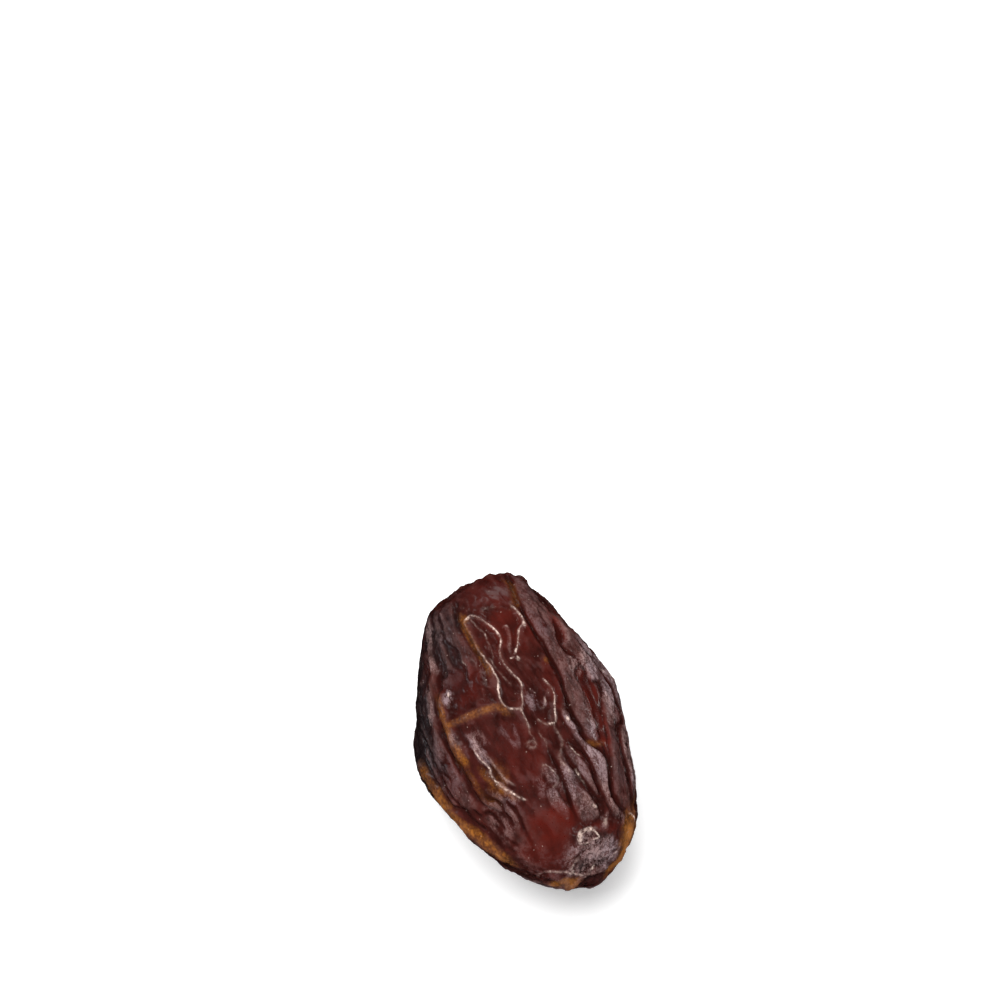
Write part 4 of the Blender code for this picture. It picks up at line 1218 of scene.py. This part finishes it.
@dataclass(frozen=True)
class FineWrinkles:
    """Short wrinkles strewn over the whole skin, along the way that the skin is drawn."""

    count: int = 230
    seed: int = 26
    reach: float = 21.0
    shortest: float = 1.2
    longest: float = 5.5
    height: float = 0.13
    height_shares: tuple = (0.5, 1.0)
    kinds: tuple = (-1.0, -0.8, 0.6, 0.9)
    half_width: float = 0.16
    width_shares: tuple = (0.7, 1.5)
    twist: float = 1.7
    twist_spread: float = 1.6
    bend: float = 5.0
    stops: tuple = (0.0, 0.33, 0.67, 1.0)
    near: float = 3.0
    sharpness: float = 1.7
    taper: float = 0.8
    calming: float = 0.8

    def routes(self) -> list[tuple[float, float, tuple]]:
        """Draw the wrinkles.

        Returns:
            A signed height, a half width and a route for each.
        """
        draw = random.Random(self.seed)
        wrinkles = []
        for _ in range(self.count):
            station, bearing = draw.uniform(-self.reach, self.reach), draw.uniform(-180, 180)
            length = draw.uniform(self.shortest, self.longest)
            slant = self.twist + draw.gauss(0, self.twist_spread)
            corners = []
            for stop in self.stops:
                along = station + (stop - 0.5) * length
                sway = draw.gauss(0, self.bend * length / self.longest)
                corners.append((along, bearing + slant * (along - station) + sway))
            height = self.height * draw.choice(self.kinds) * draw.uniform(*self.height_shares)
            wrinkles.append((height, self.half_width * draw.uniform(*self.width_shares), tuple(corners)))
        return wrinkles

    def relief(self, body: DateBody, point: np.ndarray, calm: np.ndarray) -> np.ndarray:
        """Return the wrinkles' height at points of the body. They are lower where the skin is calm."""
        height = np.zeros(len(point))
        for tall, half_width, route in self.routes():
            lie = body.nearness(route, self.near * half_width, point)
            shape = np.exp(-((lie.gap / half_width) ** self.sharpness))
            shape = shape * rounded_step(0.0, self.taper, lie.ends)
            height[lie.near] += tall * shape * (1 - self.calming * calm[lie.near])
        return height


@dataclass(frozen=True)
class Grain:
    """The finest relief of the skin, drawn along the date: hair ridges, hair creases and mottling."""

    ridge: Noise = Noise(3.0, 1.0, 81.9, 0.12)
    crease: Noise = Noise(2.3, 0.8, 47.3, 0.13)
    hair: float = 0.08
    kind: Noise = Noise(6.0, 3.0, 19.7)
    kind_edge: tuple = (-0.25, 0.25)
    slow: Noise = Noise(4.0, 1.5, 63.1, 0.05)
    drawn: Noise = Noise(1.4, 0.55, 41.3, 0.06)
    pebbles: Noise = Noise(0.60, 0.34, 91.7, 0.030)
    mottling: Noise = Noise(0.75, 0.55, 33.3, 0.085)
    calming: float = 0.9
    twist: float = 1.7

    def height(self, point: np.ndarray, calm: np.ndarray, bloom: np.ndarray) -> np.ndarray:
        """Return the grain's height.

        Args:
            point: Points of the body.
            calm: How smooth the skin is there, from 0 to 1.
            bloom: How much bloom it carries there, from 0 to 1. Bloomed skin is mottled.

        Returns:
            The height at each point.
        """
        turn = np.radians(self.twist) * point[:, 0]
        across = np.cos(turn) * point[:, 1] - np.sin(turn) * point[:, 2]
        up = np.sin(turn) * point[:, 1] + np.cos(turn) * point[:, 2]
        place = np.stack([point[:, 0], across, up], axis=1)
        bold = 1 - self.calming * calm
        kind = rounded_step(*self.kind_edge, self.kind.at(place))
        hairs = kind * self.ridge.hairs(place, self.hair) - (1 - kind) * self.crease.hairs(place, self.hair)
        fine = self.drawn.relief(place) + self.pebbles.relief(place)
        return bold * (hairs + fine) + self.slow.relief(place) + bloom * self.mottling.relief(place)


@dataclass(frozen=True)
class FoldStyle:
    """How the folds are drawn: their waver, the shares of their height and width, and the line of painted
    shade in them.
    """

    wavers: tuple = ((0.26, 3.1), (0.13, 1.1), (0.06, 0.40))
    near: float = 3.0
    crease_shares: tuple = (0.75, 0.70)
    ridge_shares: tuple = (1.1, 1.0)
    broad: float = 2.0
    line: float = 0.7


@dataclass(frozen=True)
class PlateStyle:
    """How the edges of the flat plates waver, fade at their ends and wear away."""

    wavers: tuple = ((0.12, 1.3), (0.09, 0.45))
    near: float = 1.2
    ends: tuple = (0.2, 1.8)
    foot: float = 1.5
    least_rise: float = 0.5
    least_bloom: float = 0.4
    bloom_fade: float = 0.30
    wear: Noise = Noise(2.2, 2.2, 57.1)
    wear_edge: tuple = (-0.25, 0.35)


@dataclass(frozen=True)
class WireStyle:
    """How the thin pale ridges waver, swell into beads and break off."""

    wavers: tuple = ((0.07, 0.45),)
    near: float = 4.0
    beads: Noise = Noise(0.42, 0.42, 61.7, 0.7)
    gaps: Noise = Noise(0.8, 0.8, 71.1)
    gap_edge: tuple = (-0.45, 0.45)
    ends: tuple = (0.0, 0.6)
    least_width: float = 0.75
    least_height: float = 0.55
    crest_width: float = 0.62
    crest_ends: tuple = (-0.2, 0.4)
    crest_power: float = 1.3
    least_crest: float = 0.30
    ring_wavers: tuple = ((0.30, 1.5), (0.08, 0.45))
    ring_wear: Noise = Noise(1.2, 1.2, 27.7, 0.6)
    ring_kept: float = 0.62


@dataclass(frozen=True)
class Brush:
    """How the paints are laid on: their torn edges, and where a patch and a stripe fade out."""

    ragged: tuple = (Noise(1.4, 1.4, 18.4, 0.45), Noise(0.5, 0.5, 17.5, 0.25))
    patch_ragged: float = 0.5
    patch_edge: tuple = (0.55, 1.25)
    stripe_near: float = 2.0
    stripe_ragged: float = 0.6
    stripe_edge: tuple = (0.5, 1.25)
    stripe_ends: tuple = (-0.4, 0.8)

    def patch_share(self, patch: Patch, along: np.ndarray, around: np.ndarray,
                    rough: np.ndarray) -> np.ndarray:
        """Work out how far a patch covers points.

        Args:
            patch: The patch.
            along: How far the points are from its middle, along the date.
            around: How far they are from it round the date.
            rough: How far its edge is torn at them.

        Returns:
            The patch's share at each point.
        """
        cosine, sine = math.cos(math.radians(patch.turn)), math.sin(math.radians(patch.turn))
        far = np.hypot((along * cosine + around * sine) / patch.half_length,
                       (around * cosine - along * sine) / patch.half_width)
        return patch.strength * (1 - rounded_step(*self.patch_edge, far + self.patch_ragged * rough))

    def stripe_share(self, stripe: Stripe, lie: Nearness, rough: np.ndarray) -> np.ndarray:
        """Return how far a stripe covers the points near it, with its edge torn and its ends faded."""
        far = lie.gap / stripe.half_width + self.stripe_ragged * rough
        share = stripe.strength * (1 - rounded_step(*self.stripe_edge, far))
        return share * rounded_step(*self.stripe_ends, lie.ends)

    def painted(self, body: DateBody, point: np.ndarray) -> dict[Paint, np.ndarray]:
        """Return the share of each paint that is listed one by one, at points of the body."""
        shares = {paint: np.zeros(len(point)) for paint in HAND_PAINTS}
        rough = sum(torn.relief(point) for torn in self.ragged)
        for paint, spots in PATCHES.items():
            for patch in spots:
                along, around = unrolled(point, patch.bearing)
                share = self.patch_share(patch, along - patch.station, around, rough)
                shares[paint] = joined(shares[paint], share)
        for paint, stripes in STRIPES.items():
            for stripe in stripes:
                lie = body.nearness(stripe.route, self.stripe_near * stripe.half_width, point)
                share = self.stripe_share(stripe, lie, rough[lie.near])
                shares[paint][lie.near] = joined(shares[paint][lie.near], share)
        return shares


@dataclass
class DateSkin:
    """The whole outside of the date: one closed fine mesh with its folds, wires, wrinkles and paints."""

    body: DateBody
    scar: StemScar
    sides: SideRelief
    wrinkles: FineWrinkles
    grain: Grain
    brush: Brush
    tones: SkinTones
    pattern: SkinPattern
    folds: FoldStyle = FoldStyle()
    plates: PlateStyle = PlateStyle()
    wires: WireStyle = WireStyle()
    subdivisions: int = 8
    triangles: int = 196000
    waver_shifts: tuple = (1.7, 8.3, 15.1)
    line_width: float = 0.10
    line_kept: float = 0.30
    spot_half_length: float = 6.5
    spot_half_width: float = 3.6
    spot_fade: float = 3.0
    blurs: tuple = (2, 20, 120)
    relief_height: float = 0.10
    basin_height: float = 0.25

    def wavered(self, point: np.ndarray, wavers: tuple) -> np.ndarray:
        """Return points moved a little, so that what is measured from them wavers."""
        moved = point.copy()
        for far, length in wavers:
            for axis, shift in enumerate(self.waver_shifts):
                moved[:, axis] += Noise(length, length, shift, far).relief(point)
        return moved

    def line_at(self, gap: np.ndarray) -> np.ndarray:
        """Return the darkness of a thin line of painted shade at distances from its middle, from 0 to 1."""
        return np.exp(-((gap / self.line_width) ** 2))

    def fold_marks(self, fold: Fold, point: np.ndarray,
                   normal: np.ndarray) -> tuple[np.ndarray, np.ndarray]:
        """Return the height of one fold at points of the body, and the darkness of the line of painted shade
        in it there.
        """
        style = self.folds
        log.debug("fold: %s", fold.name)
        lie = self.body.nearness(fold.route, style.near * max(fold.left, fold.right), point, normal)
        tall, wide = style.crease_shares if fold.height < 0 else style.ridge_shares
        width = wide * np.where(lie.left, fold.left, fold.right)
        ends = rounded_step(0.0, fold.taper, lie.ends)
        height, dark = np.zeros(len(point)), np.zeros(len(point))
        height[lie.near] = tall * fold.height * np.exp(-((lie.gap / width) ** fold.sharpness)) * ends
        if fold.height < 0 and fold.sharpness < style.broad:
            dark[lie.near] = style.line * self.line_at(lie.gap) * ends
        return height, dark

    def swell_height(self, swell: Swell, point: np.ndarray) -> np.ndarray:
        """Return the height of one swell at points of the body."""
        log.debug("swell: %s", swell.name)
        middle = self.body.place(swell.station, swell.bearing)[0]
        along = (point - middle)[:, 0] / swell.half_length
        across = np.linalg.norm((point - middle)[:, 1:], axis=1) / swell.half_width
        return swell.height * np.exp(-(along ** 2) - across ** 2)

    def plate_marks(self, point: np.ndarray) -> tuple[np.ndarray, np.ndarray, np.ndarray]:
        """Work out the flat plates.

        Returns:
            Their height at each point, with the crease along their edges, the bloom and painted sheen on
            them, and the darkness of the line of painted shade at their edges.
        """
        style = self.plates
        height, bloom, dark = (np.zeros(len(point)) for _ in range(3))
        worn = rounded_step(*style.wear_edge, style.wear.at(point))
        for plate in PLATES:
            log.debug("plate: %s", plate.name)
            edge = plate.edge.value
            near, depth = self.body.depth(plate.outline, style.near, point)
            stations = [station for station, _ in plate.outline]
            ends = np.minimum(point[near, 0] - min(stations), max(stations) - point[near, 0])
            firm = rounded_step(*style.ends, ends)
            foot = depth + style.foot * edge.step
            crease = edge.crease * firm * np.exp(-((foot / edge.crease_width) ** 2))
            rise = plate.height * at_least(style.least_rise, firm)
            height[near] += rise * rounded_step(-edge.step, edge.step, depth) - crease
            share = plate.bloom * at_least(style.least_bloom, firm)
            bloom[near] = joined(bloom[near], share * rounded_step(0.0, style.bloom_fade, depth))
            dark[near] = np.maximum(dark[near], edge.line * firm * worn[near] * self.line_at(foot))
        return height, bloom, dark

    def wire_marks(self, point: np.ndarray) -> tuple[np.ndarray, np.ndarray]:
        """Work out the thin pale ridges.

        Returns:
            Their height at each point, and how pale they make it, partly with a painted highlight on their
            crests.
        """
        style = self.wires
        traced = self.wavered(point, style.wavers)
        beads = 1.0 + style.beads.relief(point)
        gaps = rounded_step(*style.gap_edge, style.gaps.at(point))
        height, pale = np.zeros(len(point)), np.zeros(len(point))
        for wire in WIRES:
            log.debug("thin ridge: %s", wire.name)
            lie = self.body.nearness(wire.route, style.near * wire.half_width, traced)
            bead = beads[lie.near]
            width = wire.half_width * at_least(style.least_width, bead)
            shape = np.exp(-((lie.gap / width) ** 2)) * rounded_step(*style.ends, lie.ends)
            rise = wire.height * at_least(style.least_height, lie.strength) * shape * bead
            height[lie.near] = np.maximum(height[lie.near], rise)
            crest = np.exp(-((lie.gap / (style.crest_width * width)) ** 2))
            crest = crest * rounded_step(*style.crest_ends, lie.ends)
            crest = crest * lie.strength ** style.crest_power * at_least(style.least_crest, gaps[lie.near])
            pale[lie.near] = np.maximum(pale[lie.near], crest)
        return height, pale

    def ring_marks(self, ring: Ring, point: np.ndarray) -> tuple[np.ndarray, np.ndarray]:
        """Return the height of a thin raised ring at points of the body, and how pale it makes them."""
        style = self.wires
        log.debug("ring: %s", ring.name)
        offset = self.wavered(point, style.ring_wavers) - self.body.place(ring.station, ring.bearing)[0]
        radius = np.hypot(np.linalg.norm(offset[:, 1:], axis=1) / ring.radius, offset[:, 0] / ring.radius)
        mark = np.exp(-(((radius - 1.0) * ring.radius / ring.thickness) ** 2))
        patchy = np.clip(style.ring_kept + style.ring_wear.relief(point), 0.0, 1.0)
        return ring.height * mark, ring.paleness * mark * patchy

    def spot_share(self, point: np.ndarray) -> np.ndarray:
        """Return 0 on the resting spot, 1 away from it."""
        radius = np.hypot(point[:, 0] / self.spot_half_length, point[:, 1] / self.spot_half_width)
        away = rounded_step(1.0, 1.0 + self.spot_fade / self.spot_half_width, radius)
        return np.where(point[:, 2] < 0, away, 1.0)

    def heights(self, point: np.ndarray, normal: np.ndarray,
                shares: dict[Paint, np.ndarray]) -> np.ndarray:
        """Work out the relief without the plates, and mark the wires and the lines of painted shade.

        Args:
            point: Points of the body.
            normal: The body's normals there.
            shares: The paints. The skin is calm where it is red, and mottled under bloom.

        Returns:
            The height over the body at each point.
        """
        calm = shares[Paint.RED]
        traced = self.wavered(point, self.folds.wavers)
        height, bloom, dark = self.sides.marks(traced)
        height += self.scar.height(self.body, point)
        shares[Paint.BLOOM] = joined(shares[Paint.BLOOM], bloom)
        shares[Paint.CREASE] = np.maximum(shares[Paint.CREASE], dark)
        for fold in FOLDS:
            fold_height, dark = self.fold_marks(fold, traced, normal)
            height += fold_height
            shares[Paint.CREASE] = np.maximum(shares[Paint.CREASE], dark)
        for swell in SWELLS:
            height += self.swell_height(swell, point)
        height += self.wrinkles.relief(self.body, traced, calm)
        wire, pale = self.wire_marks(point)
        curl, curl_pale = self.ring_marks(TAIL_CURL, point)
        height += wire + curl + self.grain.height(point, calm, shares[Paint.BLOOM])
        shares[Paint.WIRE] = np.maximum(shares[Paint.WIRE], np.maximum(pale, curl_pale))
        return height * self.spot_share(point)

    def blurred(self, value: np.ndarray, edges: np.ndarray, rounds: int) -> np.ndarray:
        """Return values spread along the mesh's edges, more widely with more rounds."""
        count = np.bincount(edges.ravel(), minlength=len(value))
        for _ in range(rounds):
            total = np.bincount(edges[:, 0], value[edges[:, 1]], len(value))
            total += np.bincount(edges[:, 1], value[edges[:, 0]], len(value))
            value = (value + total) / (count + 1)
        return value

    def stand_out(self, mesh: bpy.types.Mesh, height: np.ndarray) -> tuple[np.ndarray, np.ndarray]:
        """Return how far the skin stands out from what is round it, narrowly and broadly, from -1 to 1."""
        edges = np.empty(len(mesh.edges) * 2, dtype=np.int32)
        mesh.edges.foreach_get("vertices", edges)
        levels = [height]
        for rounds in self.blurs:
            levels.append(self.blurred(levels[-1], edges.reshape(-1, 2), rounds))
        _, near, middle, far = levels
        return (np.clip((near - middle) / self.relief_height, -1, 1),
                np.clip((middle - far) / self.basin_height, -1, 1))

    def mesh(self) -> bpy.types.Mesh:
        """Make the closed fine mesh with its paints as attributes."""
        shape = bmesh.new()
        bmesh.ops.create_icosphere(shape, subdivisions=self.subdivisions, radius=1.0)
        mesh = bpy.data.meshes.new("date_skin_fine")
        shape.to_mesh(mesh)
        shape.free()
        way = read_points(mesh) * np.array([self.body.half_length, self.body.half_breadth,
                                            (self.body.rise + self.body.drop) / 2])
        point = self.body.point(way)
        normal = self.body.normal(point)
        log.debug("pressed flats: %s", "; ".join(flat.name for flat in self.body.pressed))
        shares = self.brush.painted(self.body, point)
        plates, bloom_and_sheen, shares[Paint.CREASE] = self.plate_marks(self.wavered(point, self.plates.wavers))
        shares[Paint.BLOOM] = joined(shares[Paint.BLOOM], bloom_and_sheen)
        height = self.heights(point, normal, shares) + plates * self.spot_share(point)
        skin = point + height[:, None] * normal + np.array(self.body.centre)
        skin[:, 2] = np.maximum(skin[:, 2], 0.0)
        mesh.vertices.foreach_set("co", (skin * MM).astype(np.float32).ravel())
        shares[Paint.RELIEF], shares[Paint.BASIN] = self.stand_out(mesh, height)
        shares[Paint.SCAR] = self.scar.share(self.body, point)
        for paint, share in shares.items():
            layer = mesh.attributes.new(paint.value, "FLOAT", "POINT")
            layer.data.foreach_set("value", share.astype(np.float32))
        return mesh

    def thinned(self, fine: bpy.types.Mesh) -> bpy.types.Mesh:
        """Return the mesh with fewer triangles: all of them stay on the lines, few on the smooth skin."""
        guide = bpy.data.objects.new("skin_guide", fine)
        bpy.context.scene.collection.objects.link(guide)
        lines = np.maximum(read_paint(fine, Paint.WIRE), read_paint(fine, Paint.CREASE))
        kept = np.flatnonzero(lines > self.line_kept)
        log.info("skin: %d of %d points kept on the lines", len(kept), len(lines))
        guide.vertex_groups.new(name="lines").add(kept.tolist(), 1.0, "REPLACE")
        thin = guide.modifiers.new("Thin", "DECIMATE")
        thin.vertex_group = "lines"
        thin.invert_vertex_group = True
        thin.ratio = self.triangles / len(fine.polygons)
        seen = guide.evaluated_get(bpy.context.evaluated_depsgraph_get())
        mesh = bpy.data.meshes.new_from_object(seen)
        bpy.data.objects.remove(guide)
        return mesh

    def build(self) -> bpy.types.Object:
        """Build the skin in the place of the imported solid."""
        mesh = self.thinned(self.mesh())
        mesh.name = "date_skin_fine"
        mesh.shade_smooth()
        skin = bpy.data.objects.new("date_skin_fine", mesh)
        skin.vertex_groups.clear()
        bpy.context.scene.collection.objects.link(skin)
        mesh.materials.clear()
        mesh.materials.append(SkinGraph(self.tones, self.pattern).dress())
        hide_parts(NODE)
        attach(skin, BODY)
        log.info("skin: %d triangles", len(mesh.polygons))
        return skin


@dataclass(frozen=True)
class Softbox:
    """A square soft light: how far right, back and up it stands, its side, power, colour and gleam.

    A light that gleams shows in the skin's gloss. One that doesn't only fills, like light off a wall.
    """

    name: str
    right: float
    back: float
    up: float
    side: float
    power: float
    gleams: bool
    colour: tuple = (1.0, 1.0, 1.0)


@dataclass
class Studio:
    """The pale floor, the soft lights and the camera at the viewing angle of the photograph."""

    body: DateBody
    floor_finish: FloorFinish
    azimuth: float = 75.0
    elevation: float = 55.0
    lens: float = 100.0
    sensor: float = 36.0
    distance: float = 0.3557
    clip: float = 0.01
    frame_size: float = 1000.0
    centre_pixel: tuple = (520.7, 731.0)
    floor_side: float = 3.0
    world: float = 0.58
    boxes: tuple = (
        Softbox("light_over", -0.16, -0.04, 0.74, 0.60, 8.4, False),
        Softbox("light_back", -0.05, 0.75, 0.24, 0.20, 0.15, True),
        Softbox("light_right", 0.60, 0.40, 0.30, 0.12, 0.27, True, (1.0, 0.93, 0.91)),
        Softbox("light_high", -0.40, 0.36, 0.52, 0.12, 0.15, True, (1.0, 0.84, 0.81)),
        Softbox("light_front", 0.52, -0.42, 0.16, 0.08, 0.10, True),
        Softbox("light_left", -0.66, 0.24, 0.03, 0.14, 0.12, True, (0.88, 0.92, 1.0)),
    )

    def axes(self) -> tuple[Vector, Vector, Vector]:
        """Return the camera's right, its level way back, and the way it looks."""
        turn, tilt = math.radians(self.azimuth), math.radians(self.elevation)
        right = Vector((math.cos(turn), math.sin(turn), 0.0))
        back = Vector((-math.sin(turn), math.cos(turn), 0.0))
        look = back * math.cos(tilt) - Vector((0.0, 0.0, math.sin(tilt)))
        return right, back, look

    def aim(self, thing: bpy.types.Object, place: Vector, look: Vector) -> None:
        """Put a lamp or camera at a place, looking along a vector with its top up."""
        thing.location = place
        thing.rotation_euler = look.to_track_quat("-Z", "Y").to_euler()
        bpy.context.scene.collection.objects.link(thing)

    def build_camera(self) -> bpy.types.Object:
        """Set the camera where the date falls on its own pixels of the photograph."""
        right, _, look = self.axes()
        up = right.cross(look)
        pixel = self.distance * self.sensor / self.lens / self.frame_size
        aside = (self.centre_pixel[0] - self.frame_size / 2) * pixel
        below = (self.centre_pixel[1] - self.frame_size / 2) * pixel
        data = bpy.data.cameras.new("camera")
        data.lens = self.lens
        data.sensor_width = self.sensor
        data.clip_start = self.clip
        camera = bpy.data.objects.new("camera", data)
        centre = Vector(self.body.centre) * MM
        self.aim(camera, centre - look * self.distance - right * aside + up * below, look)
        bpy.context.scene.camera = camera
        return camera

    def build_lights(self) -> None:
        """Hang the softboxes round the date, and give the room its faint light."""
        right, back, _ = self.axes()
        target = Vector(self.body.centre) * MM
        for box in self.boxes:
            data = bpy.data.lights.new(box.name, "AREA")
            data.size = box.side
            data.energy = box.power
            data.color = box.colour
            place = target + right * box.right + back * box.back + Vector((0.0, 0.0, box.up))
            lamp = bpy.data.objects.new(box.name, data)
            lamp.visible_glossy = box.gleams
            lamp.visible_diffuse = not box.gleams
            self.aim(lamp, place, target - place)
            log.info("light: %s", box.name)
        world = bpy.data.worlds.new("room")
        world.cycles_visibility.glossy = False
        world.use_nodes = True
        world.node_tree.nodes["Background"].inputs["Color"].default_value = (1.0, 1.0, 1.0, 1.0)
        world.node_tree.nodes["Background"].inputs["Strength"].default_value = self.world
        bpy.context.scene.world = world

    def build_floor(self) -> bpy.types.Object:
        """Lay the pale floor that the date rests on."""
        mesh = bpy.data.meshes.new("floor")
        half = self.floor_side / 2
        mesh.from_pydata([(-half, -half, 0), (half, -half, 0), (half, half, 0), (-half, half, 0)], [],
                         [(0, 1, 2, 3)])
        floor = bpy.data.objects.new("floor", mesh)
        bpy.context.scene.collection.objects.link(floor)
        graph = Graph("white_board")
        white = as_colour(self.floor_finish.colour)
        shader = graph.node("ShaderNodeBsdfPrincipled", {}, {
            "Base Color": white, "Roughness": self.floor_finish.roughness,
            "Emission Color": white, "Emission Strength": self.floor_finish.glow})
        mesh.materials.append(graph.finish(shader))
        floor.visible_glossy = False
        return floor

    def build(self) -> None:
        """Build the floor, the lights and the camera."""
        self.build_camera()
        self.build_lights()
        self.build_floor()
        scene = bpy.context.scene
        scene.view_settings.view_transform = "Standard"
        scene.view_settings.look = "None"
        scene.view_settings.exposure = 0.0


def main() -> None:
    """Build the date's looks and the studio."""
    logging.basicConfig(level=logging.INFO, format="%(name)s: %(message)s")
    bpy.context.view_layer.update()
    body = DateBody()
    Studio(body, FloorFinish()).build()
    DateSkin(body, StemScar(), SideRelief(), FineWrinkles(), Grain(), Brush(), SkinTones(),
             SkinPattern()).build()


if __name__ == "__main__":
    main()
